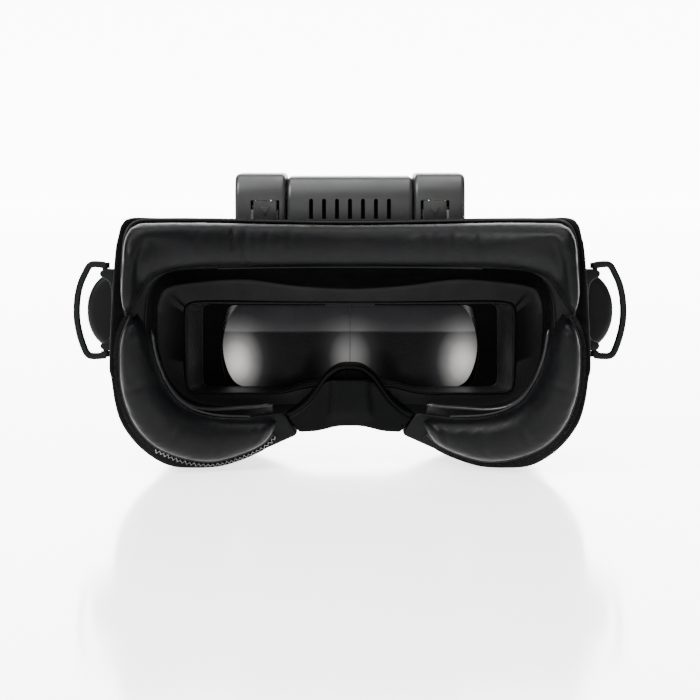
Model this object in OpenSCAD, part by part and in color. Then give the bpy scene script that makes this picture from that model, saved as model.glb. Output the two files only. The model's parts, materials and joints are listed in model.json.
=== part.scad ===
// Box goggles for flying by video: padded faceplate, lens pair, screen and receiver module.
// +Z is up, the wearer looks along +Y and the face is at -Y. The goggles stand on Z = 0.

/* [Faceplate] */
// Width of the faceplate over the temples
face_w = 173; // [171:0.5:178]
// Height of the faceplate
face_h = 92.4; // [92:0.2:95]
// Radius that the faceplate wraps round the face with
wrap_r = 160; // [156:1:175]
// Thickness of the faceplate
plate_t = 3; // [2.6:0.2:3.4]
// How far the pads stand off the faceplate
pad_t = 14; // [11:0.5:15]

/* [Casing] */
// Depth over everything, from the temples to the front
total_d = 109; // [109:0.5:114]
// Wall of the casing
wall = 2.2; // [1.8:0.1:2.4]
// Depth of the removable front cover
cover_d = 14; // [13:0.5:15]

/* [Lenses] */
// Width of the lens pair
lens_w = 98; // [92:1:102]
// Height of the lens pair
lens_h = 31.4; // [28:0.2:32]

/* [Top module] */
// Width of the module over both caps
module_w = 86; // [84:0.5:90]
// Height of the module's top above the floor
module_top = 107.2; // [105:0.2:110]
// Number of vent slots
vents = 7; // [3:2:7]
// Distance between vent slots
vent_pitch = 4.85; // [4.5:0.05:5.5]

/* [Moving parts] */
// Radial clearance of the running pins
slack = 0.05; // [0.03:0.01:0.08]
// Travel of the push buttons
button_travel = 0.8; // [0.5:0.1:0.9]

/* [Hidden] */
$fn = 48;
fine = 160;
far = 200;

kx = face_w / 173;
kz = face_h / 92.4;
pad_x = 82.4 * kx;
front_y = total_d / 2;
plate_y = -total_d / 2 + wrap_r - sqrt(pow(wrap_r - pad_t, 2) - pow(pad_x, 2));
wrap_y = plate_y - wrap_r;
fit = 0.15;

shroud_y = plate_y + 17;
shroud_wall = 1.6;
lens_z = 41.4 * kz;
baffle_l = 11;
frame_y = shroud_y + baffle_l + 0.2;
frame_l = 8;
lens_t = 6;
nose_t = 9;
nose_step = 3.5;

case_x = 79.5 * kx;
case_top = 85.5 * kz;
split_y = front_y - cover_d;
gasket_t = 1;
boss_r = 4;

screen_y = front_y - 16.5;
screen_w = 100;
screen_h = 54;
screen_z = 45.4 * kz;

cap_x = 23.9;
module_y = 0;
module_l = 38;
base_z = case_top + 0.1;
base_t = 3.1;
lid_z = base_z + base_t + 0.1;
lid_wall = 1.8;
lid_round = 2;
lid_edge = 6;
connector_x = 33.6;
connector_z = lid_z + 5.1;
thread_end = 47.2;
// the plug between the module and the casing, half its width and its depth
plug_x = 8;
plug_y0 = 14;
plug_y1 = 24;
tab_x = 31.75;
tab_w = 8.7;
tab_slot = 1;
tab_top = 97.3;

board_z = case_top - 8.5;
board_t = 1.4;
board_x = 75 * kx;
ledge_x = 73.6 * kx;
button_r = 3;
button_y = 14;
power_x = -67;
menu_x = 51;
channel_x = 59;
band_x = 67;
button_at = [menu_x, channel_x, band_x, power_x];
wheel_x = -56;
wheel_w = 5;
wheel_r = 5.5;
wheel_z = case_top - 3.3;
axle_r = 1;

loop_x = 88.7 * kx;
loop_y = -29.5;
loop_mid = 58.6 * kz;
loop_pin_r = 1;
loop_d = 3;
ear_h = 3.2;
ear_r = 1.8;
ear_z = 13.2;

port_x = 64.4;
jack_z = 36;
av_y = 10;
av_r = 3;
dc_y = 20;
dc_r = 4;
hdmi_y = [7.2, 22.8];
hdmi_z = [23.7, 30.3];
port_gap = 0.3;
shell_seam = 41.9;
// the web from each cover boss to the side wall ends here
web_x = 76.5 * kx;
bracket_x = 86.2 * kx;
pod_y = [-13, 16];
pack_x = [64.6 * kx, 75.2 * kx];
pack_y = [3.4, 26.6];
foot_x = 52;
foot_y = 32;
foot_r = 5;

// Points of a half outline and their mirror image, in millimetres of the nominal face.
function mirrored(half) = concat(
    [for (p = half) [p[0] * kx, p[1] * kz]],
    [for (i = [len(half) - 1 : -1 : 0]) [-half[i][0] * kx, half[i][1] * kz]]
);

// A flat outline in X and Z, extruded from y0 to y1.
module along_y(y0, y1) {
    translate([0, y1, 0])
        rotate([90, 0, 0])
            linear_extrude(y1 - y0) children();
}

// A round bar along Y.
module bar_y(x, z, r, y0, y1) {
    translate([x, y0, z])
        rotate([-90, 0, 0])
            cylinder(h = y1 - y0, r = r);
}

// A round bar along X, from x on.
module bar_x(x, y, z, r, l) {
    translate([x, y, z])
        rotate([0, 90, 0])
            cylinder(h = l, r = r);
}

module block(x0, x1, y0, y1, z0, z1) {
    translate([x0, y0, z0])
        cube([x1 - x0, y1 - y0, z1 - z0]);
}

module both() {
    children();
    mirror([1, 0, 0]) children();
}

module softened(convex, concave) {
    offset(-concave)
        offset(concave + convex)
            offset(-convex) children();
}

// The space between two radii round the upright axis that the face wraps about.
module wrapped(r0, r1) {
    translate([0, wrap_y, -1])
        difference() {
            cylinder(h = far, r = r1, $fn = fine);
            translate([0, 0, -1])
                cylinder(h = far + 2, r = r0, $fn = fine);
        }
}

module inside_wrap(r) {
    translate([0, wrap_y, -2])
        cylinder(h = far, r = r, $fn = fine);
}

// Outlines

module face_outline() {
    softened(2.5, 5)
        polygon(mirrored([
            [0, 90.2], [40, 91], [81, 92.4], [83.6, 88.5], [85, 76.5], [86.5, 42],
            [85.9, 34.5], [84.6, 25], [82.3, 17.5], [77.2, 9.8], [70.6, 3.9], [64.3, 0.9],
            [56, 0], [50, 0], [42.3, 1.6], [30.3, 6.6], [20.3, 10.9], [13, 12.4]
        ]));
}

module cavity_outline() {
    softened(5, 3)
        polygon(mirrored([
            [0, 73.4], [66, 72.6], [72, 68], [74, 52], [73, 38], [68.5, 27.5], [61, 21],
            [50, 18.5], [38, 18.2], [25, 19.5]
        ]));
}

module nose_outline() {
    softened(2, 2)
        polygon(mirrored([
            [0, 36.8], [4.5, 36.2], [8.8, 33.2], [12, 29], [15.2, 24.6], [19.5, 20.8], [24, 18.8],
            [19, 11.6], [13, 12.4]
        ]));
}

module brow_outline() {
    softened(2, 3)
        polygon(mirrored([
            [0, 89.4], [78, 91.2], [81.8, 86], [82.4, 72], [81.6, 58.5], [79.6, 57],
            [73.6, 67.5], [68.6, 72.4], [50, 74.6], [0, 74.4]
        ]));
}

module cheek_outline() {
    softened(1.5, 3)
        polygon([
            for (p = [
                [73.8, 56.2], [78.5, 55.4], [82, 52], [82.4, 38.5], [81.4, 27.5], [78.8, 20],
                [74.8, 13.8], [68, 7.8], [59.3, 4], [50, 2.6], [42, 4.2], [31, 9], [28, 12.5],
                [25.4, 17.2], [38.4, 17], [49.8, 18], [61.5, 20.8], [69.2, 27.2], [73.4, 38]
            ]) [p[0] * kx, p[1] * kz]
        ]);
}

module case_outline() {
    softened(3.5, 6)
        polygon(mirrored([
            [0, 85.5], [74, 85.5], [79.5, 78], [79.5, 22], [76, 12], [68, 4.6], [60, 3],
            [45, 3], [34, 6.5], [22, 11.5], [14, 12.6]
        ]));
}

module case_plan(inset) {
    offset(-inset)
        softened(4, 0.5)
            polygon([
                for (s = [1, -1], p = s > 0
                    ? [[79.5, -60], [79.5, 28], [77, front_y - 12], [73.5, front_y - 4.5], [66, front_y]]
                    : [[66, front_y], [73.5, front_y - 4.5], [77, front_y - 12], [79.5, 28], [79.5, -60]])
                    [s * p[0] * kx, p[1]]
            ]);
}

// The casing's solid, less an inset all round, from y0 to y1.
module case_solid(inset, y0, y1) {
    intersection() {
        along_y(y0, y1) offset(-inset) case_outline();
        translate([0, 0, -1])
            linear_extrude(far) case_plan(inset);
    }
}

module lens_outline(grow) {
    half = lens_w / 2;
    offset(grow)
        softened(3.5, 0.5)
            intersection() {
                translate([0, lens_z])
                    square([lens_w, lens_h], center = true);
                for (s = [-1, 1])
                    translate([s * (half - 44), lens_z])
                        circle(r = 44, $fn = 96);
                translate([0, lens_z])
                    square([lens_w, lens_h], center = true);
            }
}

// The opening in front of the lenses, lower at the sides than over the nose.
module window_outline() {
    softened(3, 4)
        polygon(mirrored([
            [0, 58.7], [61, 58.7], [61, 25.4], [26, 25.4], [15, 28.6]
        ]));
}

// Screw places, as [x, z]
plate_screw_at = [[40 * kx, 80 * kz], [56 * kx, 8.9 * kz]];
cover_screw_at = [[67 * kx, 70 * kz], [67 * kx, 22 * kz]];
board_screw_at = [[46, 26 * kz], [46, 64 * kz]];
module_screw_at = [[17, 6], [17, 32]];

// Face side

module faceplate() {
    color([0.06, 0.06, 0.065])
        difference() {
            intersection() {
                along_y(-far, 0) face_outline();
                wrapped(wrap_r, wrap_r + plate_t);
            }
            along_y(-far, 1) {
                cavity_outline();
                nose_outline();
            }
            both()
                for (p = plate_screw_at) {
                    bar_y(p[0], p[1], 1.3, -far, 1);
                    bar_y(p[0], p[1], 2.6, -far, plate_screw_seat(p[0]));
                }
        }
}

function plate_screw_seat(x) = wrap_y + sqrt(pow(wrap_r + plate_t, 2) - pow(x, 2)) - 1.6;

module pad(inner_r) {
    intersection() {
        along_y(-far, 0) children();
        wrapped(inner_r, wrap_r - 1.3);
    }
}

module brow_pad() {
    color([0.07, 0.07, 0.075])
        pad(wrap_r - pad_t) brow_outline();
}

module cheek_pad_right() {
    color([0.07, 0.07, 0.075])
        pad(wrap_r - pad_t) cheek_outline();
}

module cheek_pad_left() {
    mirror([1, 0, 0]) cheek_pad_right();
}

module strip() {
    intersection() {
        along_y(-far, 0) children();
        wrapped(wrap_r - 1.15, wrap_r - 0.1);
    }
}

module brow_hook_strip() {
    color([0.1, 0.1, 0.1])
        strip()
            intersection() {
                offset(-2.2) brow_outline();
                translate([-far / 2, 83 * kz])
                    square([far, 20]);
            }
}

module cheek_hook_strips() {
    color([0.1, 0.1, 0.1])
        both()
            strip()
                difference() {
                    offset(-2.4) cheek_outline();
                    translate([plate_screw_at[1][0], plate_screw_at[1][1]])
                        circle(r = 4);
                }
}

module eye_shroud() {
    color([0.05, 0.05, 0.055])
        difference() {
            along_y(-60, shroud_y) offset(shroud_wall) cavity_outline();
            along_y(-61, shroud_y - shroud_wall) cavity_outline();
            along_y(-61, shroud_y + 1) window_outline();
            along_y(-61, shroud_y + 1) offset(0.3) nose_outline();
            inside_wrap(wrap_r + plate_t + fit);
        }
}

// The stepped tunnel between the shroud's window and the lenses, with its tab at the top.
module light_baffle() {
    color([0.045, 0.045, 0.05]) {
        along_y(shroud_y + fit, frame_y - fit)
            difference() {
                offset(2) window_outline();
                window_outline();
            }
        block(-9.5, 9.5, shroud_y + fit, shroud_y + 2, 57.4 * kz, 58.8 * kz);
    }
}

module lens(side) {
    color([0.5, 0.52, 0.55, 0.6])
        intersection() {
            along_y(frame_y + 0.5, frame_y + 0.5 + lens_t)
                intersection() {
                    lens_outline(0);
                    translate([side > 0 ? 0.02 : -far - 0.02, 0])
                        square([far, far]);
                }
            translate([side * lens_w / 4, frame_y + 0.5 + 75, -1])
                cylinder(h = far, r = 75, $fn = fine);
        }
}

module lens_left() {
    lens(-1);
}

module lens_right() {
    lens(1);
}

module lens_frame() {
    color([0.04, 0.04, 0.045])
        along_y(frame_y, frame_y + frame_l)
            difference() {
                offset(2) window_outline();
                lens_outline(0.15);
            }
}

// A block that closes the notch, a hood over it and a hollow for the bridge of the nose.
module nose_bridge() {
    back_y = plate_y + nose_t;
    color([0.08, 0.08, 0.085]) {
        difference() {
            along_y(plate_y - 2, shroud_y) offset(-0.1) nose_outline();
            along_y(back_y, shroud_y + 1) offset(-2.2) nose_outline();
            block(-30, 30, back_y, shroud_y + 1, 5, 15 * kz);
            bar_y(0, 8 * kz, 8 * kx, plate_y - 12, plate_y + 2);
            // the dome at the head of the nose stands behind the block
            block(-30, 30, plate_y - 3, plate_y + nose_step, 31.7 * kz, 50);
        }
        along_y(plate_y - 3.2, plate_y - 1.9)
            softened(2, 1)
                polygon(mirrored([[0, 31.7], [7.2, 31.7], [8.6, 17.5], [0, 17.5]]));
    }
}

// Casing

// The opening that the module's plug passes through, at height z.
module plug_hole(z) {
    block(-plug_x - 1, plug_x + 1, plug_y0 - 1, plug_y1 + 1, z - 5, z + 5);
}

// The casing behind the faceplate, from one height to another.
module shell(z0, z1) {
    intersection() {
        block(-far, far, -far, far, z0, z1);
        difference() {
            union() {
                difference() {
                    case_solid(0, -60, split_y);
                    case_solid(wall, -61, split_y + 1);
                }
                both() {
                    for (p = plate_screw_at)
                        bar_y(p[0], p[1], boss_r, -40, -4);
                    for (p = cover_screw_at) {
                        bar_y(p[0], p[1], boss_r, split_y - 9, split_y);
                        block(p[0], web_x, split_y - 9, split_y, p[1] - 1.2, p[1] + 1.2);
                    }
                    block(ledge_x, case_x - wall / 2 * kx, 4, 24, board_z - 2, board_z - 0.02);
                }
            }
            inside_wrap(wrap_r + plate_t + fit);
            along_y(-61, shroud_y + 1) offset(shroud_wall + fit) cavity_outline();
            along_y(-61, plate_y + nose_t + 0.3) offset(0.2) nose_outline();
            both() {
                for (p = plate_screw_at)
                    bar_y(p[0], p[1], 1.05, -50, -5);
                for (p = cover_screw_at)
                    bar_y(p[0], p[1], 1.3, split_y - 8, split_y + 1);
                for (p = module_screw_at)
                    translate([p[0], p[1], case_top - 5])
                        cylinder(h = 10, r = 1.05);
                translate([foot_x, foot_y, 2])
                    cylinder(h = 1.6, r = foot_r + 0.1);
            }
            for (x = button_at)
                translate([x, button_y, case_top - 5])
                    cylinder(h = 10, r = button_r + slack);
            block(wheel_x - 2.9, wheel_x + 2.9, button_y - 6, button_y + 6, case_top - 5, case_top + 5);
            plug_hole(case_top);
            bar_x(70, av_y, jack_z, av_r + 0.1, 20);
            bar_x(70, dc_y, jack_z, dc_r + 0.1, 20);
            block(70, 90, hdmi_y[0] - port_gap, hdmi_y[1] + port_gap,
                hdmi_z[0] - port_gap, hdmi_z[1] + port_gap);
        }
    }
}

module upper_shell() {
    color([0.06, 0.06, 0.065])
        shell(shell_seam, far);
}

module lower_shell() {
    color([0.06, 0.06, 0.065])
        shell(-1, shell_seam);
}

module front_cover() {
    color([0.07, 0.07, 0.075])
        difference() {
            union() {
                difference() {
                    case_solid(0, split_y + gasket_t, front_y);
                    case_solid(wall, split_y, front_y - wall);
                }
                both() {
                    for (p = cover_screw_at)
                        bar_y(p[0], p[1], boss_r, split_y + gasket_t, front_y - 5);
                    for (p = board_screw_at)
                        bar_y(p[0], p[1], 3, front_y - 5.8, front_y - 1);
                }
            }
            // the recess of the visor panel
            along_y(front_y - 1.2, front_y + 1) visor_outline(0.1);
            both() {
                for (p = cover_screw_at) {
                    bar_y(p[0], p[1], 1.3, split_y, front_y + 1);
                    bar_y(p[0], p[1], 2.7, front_y - 7.5, front_y + 1);
                }
                for (p = board_screw_at)
                    bar_y(p[0], p[1], 1.05, front_y - 7, front_y - 2.6);
            }
        }
}

module visor_outline(grow) {
    offset(grow)
        softened(9, 4)
            polygon(mirrored([[0, 72], [60, 72], [62, 30], [52, 20], [0, 22]]));
}

module visor_panel() {
    color([0.02, 0.02, 0.025])
        along_y(front_y - 1.2, front_y - 0.1) visor_outline(0);
}

module cover_gasket() {
    color([0.12, 0.12, 0.12])
        intersection() {
            difference() {
                along_y(split_y + 0.05, split_y + gasket_t - 0.05) {
                    difference() {
                        offset(-0.5) case_outline();
                        offset(-1.9) case_outline();
                    }
                }
                both()
                    for (p = cover_screw_at)
                        bar_y(p[0], p[1], 1.5, split_y - 1, split_y + 3);
            }
            translate([0, 0, -1])
                linear_extrude(far) case_plan(0.4);
        }
}

// Optics and electronics

module framed(w, h, t, y0, y1) {
    along_y(y0, y1)
        translate([0, screen_z])
            difference() {
                square([w, h], center = true);
                square([w - 2 * t, h - 2 * t], center = true);
            }
}

module light_box() {
    color([0.05, 0.05, 0.05])
        framed(screen_w + 4, screen_h + 3, 1.5, frame_y + frame_l + 0.1, screen_y - 0.1);
}

module lcd_panel() {
    color([0.03, 0.03, 0.05])
        block(-screen_w / 2, screen_w / 2, screen_y, screen_y + 2.4,
            screen_z - screen_h / 2, screen_z + screen_h / 2);
}

module backlight() {
    color([0.85, 0.85, 0.82])
        block(-screen_w / 2, screen_w / 2, screen_y + 2.5, screen_y + 4.4,
            screen_z - screen_h / 2, screen_z + screen_h / 2);
}

module lcd_bracket() {
    color([0.6, 0.6, 0.62])
        framed(screen_w + 6, screen_h + 6, 2.8, screen_y, screen_y + 4.5);
}

module display_ribbon() {
    color([0.75, 0.5, 0.15]) {
        block(-12, 12, screen_y + 4.6, screen_y + 4.9, screen_z - 26, screen_z - 12);
        block(-12, 12, screen_y + 4.9, screen_y + 5.2, screen_z - 20.4, screen_z - 12);
    }
}

module board(w, h, y0, holes) {
    difference() {
        block(-w / 2, w / 2, y0, y0 + board_t, screen_z - h / 2, screen_z + h / 2);
        if (holes)
            both()
                for (p = board_screw_at)
                    bar_y(p[0], p[1], 1.1, y0 - 1, y0 + 3);
    }
}

module driver_board() {
    color([0.05, 0.25, 0.12]) {
        board(70, 22, screen_y + 5.3, false);
        block(-8, 8, screen_y + 6.7, screen_y + 7.8, screen_z - 6, screen_z + 6);
    }
}

module main_board() {
    y0 = front_y - 7.2;
    color([0.05, 0.22, 0.12]) {
        board(106, 50, y0, true);
        block(-9, 9, y0 + board_t, y0 + board_t + 1.6, screen_z - 9, screen_z + 9);
        both()
            block(20, 32, y0 + board_t, y0 + board_t + 1.2, screen_z - 4, screen_z + 8);
    }
}

module board_screws() {
    color([0.7, 0.7, 0.72])
        both()
            for (p = board_screw_at) {
                bar_y(p[0], p[1], 1, front_y - 7.3, front_y - 3);
                bar_y(p[0], p[1], 1.9, front_y - 8.4, front_y - 7.25);
            }
}

module battery_pack() {
    color([0.2, 0.3, 0.55])
        for (i = [0, 1])
            block(-pack_x[1], -pack_x[0], pack_y[0], pack_y[1], 24.2 + i * 24, 47.8 + i * 24);
}

module battery_tray() {
    color([0.08, 0.08, 0.08]) {
        block(-pack_x[1], -pack_x[0], pack_y[0] - 0.2, pack_y[1] + 1.6, 22, 24);
        block(-pack_x[1], -pack_x[0], pack_y[1] + 0.4, pack_y[1] + 1.6, 22, 72);
    }
}

module button_board() {
    color([0.05, 0.22, 0.12]) {
        difference() {
            block(-board_x, board_x, 4.4, 23.6, board_z, board_z + board_t);
            block(wheel_x - 3.2, wheel_x + 3.2, button_y - 6.4, button_y + 6.4, board_z - 1, board_z + 3);
        }
        for (x = button_at)
            block(x - 2.2, x + 2.2, button_y - 2.2, button_y + 2.2,
                board_z + board_t, case_top - 4.5 - button_travel - 0.1);
    }
}

module wheel_axle() {
    color([0.7, 0.7, 0.72]) {
        for (s = [-1, 1])
            block(wheel_x + s * 3.9 - 0.6, wheel_x + s * 3.9 + 0.6, button_y - 2, button_y + 2,
                board_z + board_t + 0.02, case_top - wall - 0.1);
        translate([wheel_x - 4, button_y, wheel_z])
            rotate([0, 90, 0]) cylinder(h = 8, r = axle_r);
    }
}

module menu_wheel() {
    color([0.1, 0.1, 0.1])
        translate([wheel_x - wheel_w / 2, button_y, wheel_z])
            rotate([0, 90, 0])
                difference() {
                    cylinder(h = wheel_w, r = wheel_r);
                    translate([0, 0, -1]) cylinder(h = wheel_w + 2, r = axle_r + slack);
                    for (a = [0 : 20 : 340])
                        rotate([0, 0, a])
                            translate([wheel_r, 0, -1]) cylinder(h = wheel_w + 2, r = 0.35, $fn = 16);
                }
}

module push_button(x, proud) {
    color([0.12, 0.12, 0.12])
        translate([x, button_y, 0]) {
            translate([0, 0, case_top - wall - 0.05])
                cylinder(h = wall + 0.05 + proud, r = button_r);
            translate([0, 0, case_top - wall - 1.3])
                cylinder(h = 1.25, r = button_r + 1);
            translate([0, 0, case_top - 4.5])
                cylinder(h = 1.2, r = 1.2);
        }
}

module power_button() {
    push_button(power_x, 1.5);
}

module menu_button() {
    push_button(menu_x, 1.3);
}

module channel_button() {
    push_button(channel_x, 1.3);
}

module band_button() {
    push_button(band_x, 1.3);
}

module port_board() {
    color([0.05, 0.22, 0.12])
        block(port_x, port_x + 1.6, 3.4, 27, 19, 44);
}

module av_jack() {
    color([0.09, 0.09, 0.09])
        difference() {
            union() {
                block(port_x + 1.7, 74, 6.4, 13.6, 32.4, 39.6);
                bar_x(70, av_y, jack_z, av_r, 79.6 * kx - 70);
            }
            bar_x(67.5, av_y, jack_z, 1.8, 20);
        }
}

module power_jack() {
    color([0.09, 0.09, 0.09]) {
        difference() {
            union() {
                block(port_x + 1.7, 74, 15.6, 24.4, 31.6, 40.4);
                bar_x(70, dc_y, jack_z, dc_r, 79.6 * kx - 70);
            }
            bar_x(68.5, dc_y, jack_z, 2.8, 20);
        }
        bar_x(68, dc_y, jack_z, 1, 10);
    }
}

module hdmi_socket() {
    color([0.65, 0.65, 0.66]) {
        difference() {
            block(port_x + 1.7, 79.4 * kx, hdmi_y[0], hdmi_y[1], hdmi_z[0], hdmi_z[1]);
            block(67.6, 90, hdmi_y[0] + 0.6, hdmi_y[1] - 0.6, hdmi_z[0] + 0.6, hdmi_z[1] - 0.6);
        }
        block(67, 77, 9.5, 20.5, 28.6, 29.4);
    }
}

// Top module

module module_base() {
    color([0.07, 0.07, 0.075])
        difference() {
            block(-module_w / 2 + 1.5, module_w / 2 - 1.5, module_y + 0.6, module_y + module_l - 0.6,
                base_z, base_z + base_t);
            plug_hole(base_z);
            both()
                for (p = module_screw_at)
                    translate([p[0], p[1], base_z - 1])
                        cylinder(h = 8, r = 1.1);
        }
}

module module_screws() {
    color([0.7, 0.7, 0.72])
        both()
            for (p = module_screw_at)
                translate([p[0], p[1], 0]) {
                    translate([0, 0, case_top - 4])
                        cylinder(h = 4.2 + base_t, r = 1);
                    translate([0, 0, base_z + base_t + 0.02])
                        cylinder(h = 1.2, r = 1.9);
                }
}

module module_connector() {
    color([0.9, 0.88, 0.8])
        block(-plug_x, plug_x, plug_y0, plug_y1, case_top - wall - 0.3, base_z + base_t + 4);
}

module receiver_board(side) {
    x = side * connector_x;
    color([0.05, 0.22, 0.12])
        block(x - 7.4, x + 7.4, 5, 33.6, base_z + base_t + 0.05, base_z + base_t + 1.45);
}

module receiver_board_left() {
    receiver_board(-1);
}

module receiver_board_right() {
    receiver_board(1);
}

module shield_cans() {
    z0 = base_z + base_t + 1.5;
    color([0.75, 0.75, 0.76])
        both()
            block(connector_x - 6.2, connector_x + 6.2, 8, 28, z0, z0 + 3.4);
}

// A threaded coaxial socket, with its hexagon flange behind the wall.
module antenna_connector(side) {
    color([0.75, 0.6, 0.25])
        translate([side * connector_x, 0, connector_z])
            difference() {
                union() {
                    bar_y(0, 0, 3.175, 38, thread_end);
                    bar_y(0, 0, 3.6, 35, 38.2);
                    translate([0, 33.8, 0])
                        rotate([-90, 0, 0]) cylinder(h = 1.9, r = 4.4, $fn = 6);
                }
                bar_y(0, 0, 2.3, thread_end - 5, thread_end + 1);
            }
}

module antenna_connector_left() {
    antenna_connector(-1);
}

module antenna_connector_right() {
    antenna_connector(1);
}

// The module's rear outline between x0 and x1, with its upper edges rounded.
module lid_outline(x0, x1, top, r) {
    intersection() {
        offset(r) offset(-r)
            translate([x0, lid_z - 10])
                square([x1 - x0, top - lid_z + 10]);
        translate([-far, lid_z])
            square([2 * far, far]);
    }
}

module lid_side(inset, top) {
    translate([-far, 0, 0])
        rotate([90, 0, 90])
            linear_extrude(2 * far)
                offset(-inset) offset(lid_edge) offset(-lid_edge)
                    translate([module_y, lid_z - 20])
                        square([module_l, top - lid_z + 20]);
}

module lid_part(x0, x1, top) {
    difference() {
        intersection() {
            along_y(module_y, module_y + module_l) lid_outline(x0, x1, top, lid_round);
            lid_side(0, top);
        }
        intersection() {
            along_y(module_y, module_y + module_l)
                translate([x0 + lid_wall, lid_z - 5])
                    square([x1 - x0 - 2 * lid_wall, top - lid_z + 5 - lid_wall]);
            lid_side(lid_wall, top);
        }
    }
}

module vent_slot(x) {
    top = lid_z + 9.2;
    along_y(module_y - 1, module_y + module_l + 1)
        translate([x, 0]) {
            translate([-0.75, lid_z + 1.6])
                square([1.5, top - 0.75 - lid_z - 1.6]);
            translate([0, top - 0.75]) circle(r = 0.75, $fn = 24);
        }
}

module module_cover() {
    color([0.09, 0.09, 0.095])
        difference() {
            lid_part(-cap_x + 0.3, cap_x - 0.3, module_top - 1.1);
            for (i = [0 : vents - 1])
                vent_slot((i - (vents - 1) / 2) * vent_pitch);
        }
}

module module_cap_right() {
    color([0.09, 0.09, 0.095])
        difference() {
            lid_part(cap_x, module_w / 2, module_top);
            // the tongue's cut-out
            block(tab_x - tab_w / 2 - tab_slot, tab_x + tab_w / 2 + tab_slot,
                module_y - 1, module_y + lid_wall + 0.1, lid_z - 1, tab_top + 0.2);
            // the slot that clears the antenna connector as the lid lifts off
            bar_y(connector_x, connector_z, 4, 30, 50);
            block(connector_x - 4, connector_x + 4, 30, 50, lid_z - 1, connector_z);
        }
}

module module_cap_left() {
    mirror([1, 0, 0]) module_cap_right();
}

module latch_tab_right() {
    color([0.09, 0.09, 0.095]) {
        block(tab_x - tab_w / 2, tab_x + tab_w / 2, module_y, module_y + lid_wall, lid_z + 0.3, tab_top);
        along_y(module_y - 0.4, module_y + 0.2)
            translate([tab_x, 0])
                polygon([[-1.8, 94.9], [1.8, 94.9], [0, 91.6]]);
    }
}

module latch_tab_left() {
    mirror([1, 0, 0]) latch_tab_right();
}

// Sides

module loop_bracket_right() {
    color([0.06, 0.06, 0.065])
        difference() {
            union() {
                block(case_x + 0.05, bracket_x, loop_y - 2.2, loop_y + 2.2, loop_mid - 14, loop_mid + 14);
                for (s = [-1, 1])
                    translate([0, 0, loop_mid + s * ear_z - ear_h / 2]) {
                        block(bracket_x - 0.2 * kx, loop_x, loop_y - ear_r, loop_y + ear_r, 0, ear_h);
                        translate([loop_x, loop_y, 0]) cylinder(h = ear_h, r = ear_r);
                    }
            }
            translate([loop_x, loop_y, 0])
                cylinder(h = far, r = loop_pin_r + slack);
        }
}

module loop_bracket_left() {
    mirror([1, 0, 0]) loop_bracket_right();
}

module loop_outline() {
    softened(1.5, 0.5)
        polygon([
            for (p = [
                [88, 75.8], [94.8, 75.6], [97.9, 69.8], [99.3, 64], [99.8, 57.8], [99.3, 51.8],
                [97.6, 44.8], [95.2, 41.4], [88, 41.2]
            ]) [p[0] * kx, p[1] * kz]
        ]);
}

module strap_loop_right() {
    color([0.1, 0.1, 0.1]) {
        along_y(loop_y - loop_d / 2, loop_y + loop_d / 2)
            difference() {
                loop_outline();
                offset(-1.8) loop_outline();
                translate([80, loop_mid - 15.2]) square([loop_x + 1.2 - 80, 30.4]);
            }
        for (s = [-1, 1])
            translate([loop_x, loop_y, loop_mid + s * 15.1 - (s > 0 ? 0 : 2)]) {
                cylinder(h = 2, r = ear_r);
                translate([0, 0, s > 0 ? -3.6 : 1.8])
                    cylinder(h = 3.8, r = loop_pin_r);
            }
    }
}

module strap_loop_left() {
    mirror([1, 0, 0]) strap_loop_right();
}

module side_pod_right() {
    color([0.06, 0.06, 0.065])
        along_y(pod_y[0], pod_y[1])
            softened(6, 1)
                polygon([
                    for (p = [
                        [79.6, 70.2], [87.6, 70.2], [93.6, 66.4], [95.8, 61], [95.8, 53],
                        [93.6, 47.4], [87.6, 43.4], [79.6, 43.4]
                    ]) [p[0] * kx, p[1] * kz]
                ]);
}

module side_pod_left() {
    mirror([1, 0, 0]) side_pod_right();
}

module front_feet() {
    color([0.15, 0.15, 0.15])
        both()
            translate([foot_x, foot_y, 0]) cylinder(h = 3.5, r = foot_r);
}

// Fasteners

module faceplate_screws() {
    color([0.5, 0.5, 0.52])
        both()
            for (p = plate_screw_at) {
                seat = plate_screw_seat(p[0]);
                bar_y(p[0], p[1], 1, seat - 0.1, -6);
                bar_y(p[0], p[1], 2.2, seat - 1.2, seat - 0.02);
            }
}

module cover_screws() {
    color([0.5, 0.5, 0.52])
        both()
            for (p = cover_screw_at) {
                bar_y(p[0], p[1], 1.25, split_y - 7, front_y - 7.4);
                bar_y(p[0], p[1], 2.5, front_y - 7.45, front_y - 5.6);
            }
}

faceplate();
brow_pad();
cheek_pad_left();
cheek_pad_right();
brow_hook_strip();
cheek_hook_strips();
eye_shroud();
light_baffle();
lens_left();
lens_right();
lens_frame();
nose_bridge();
upper_shell();
lower_shell();
front_cover();
visor_panel();
cover_gasket();
light_box();
lcd_panel();
backlight();
lcd_bracket();
display_ribbon();
driver_board();
main_board();
battery_pack();
battery_tray();
module_base();
receiver_board_left();
receiver_board_right();
shield_cans();
module_connector();
antenna_connector_left();
antenna_connector_right();
button_board();
wheel_axle();
port_board();
av_jack();
power_jack();
hdmi_socket();
loop_bracket_left();
loop_bracket_right();
front_feet();
side_pod_left();
side_pod_right();
faceplate_screws();
cover_screws();
board_screws();
module_screws();
module_cover();
module_cap_left();
module_cap_right();
latch_tab_left();
latch_tab_right();
strap_loop_left();
strap_loop_right();
power_button();
menu_button();
channel_button();
band_button();
menu_wheel();
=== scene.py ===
"""FPV goggles: the soft, moulded and optical surfaces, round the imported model."""

import json
import math

import bmesh
import bpy
import numpy as np
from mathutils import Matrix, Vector, noise


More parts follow.
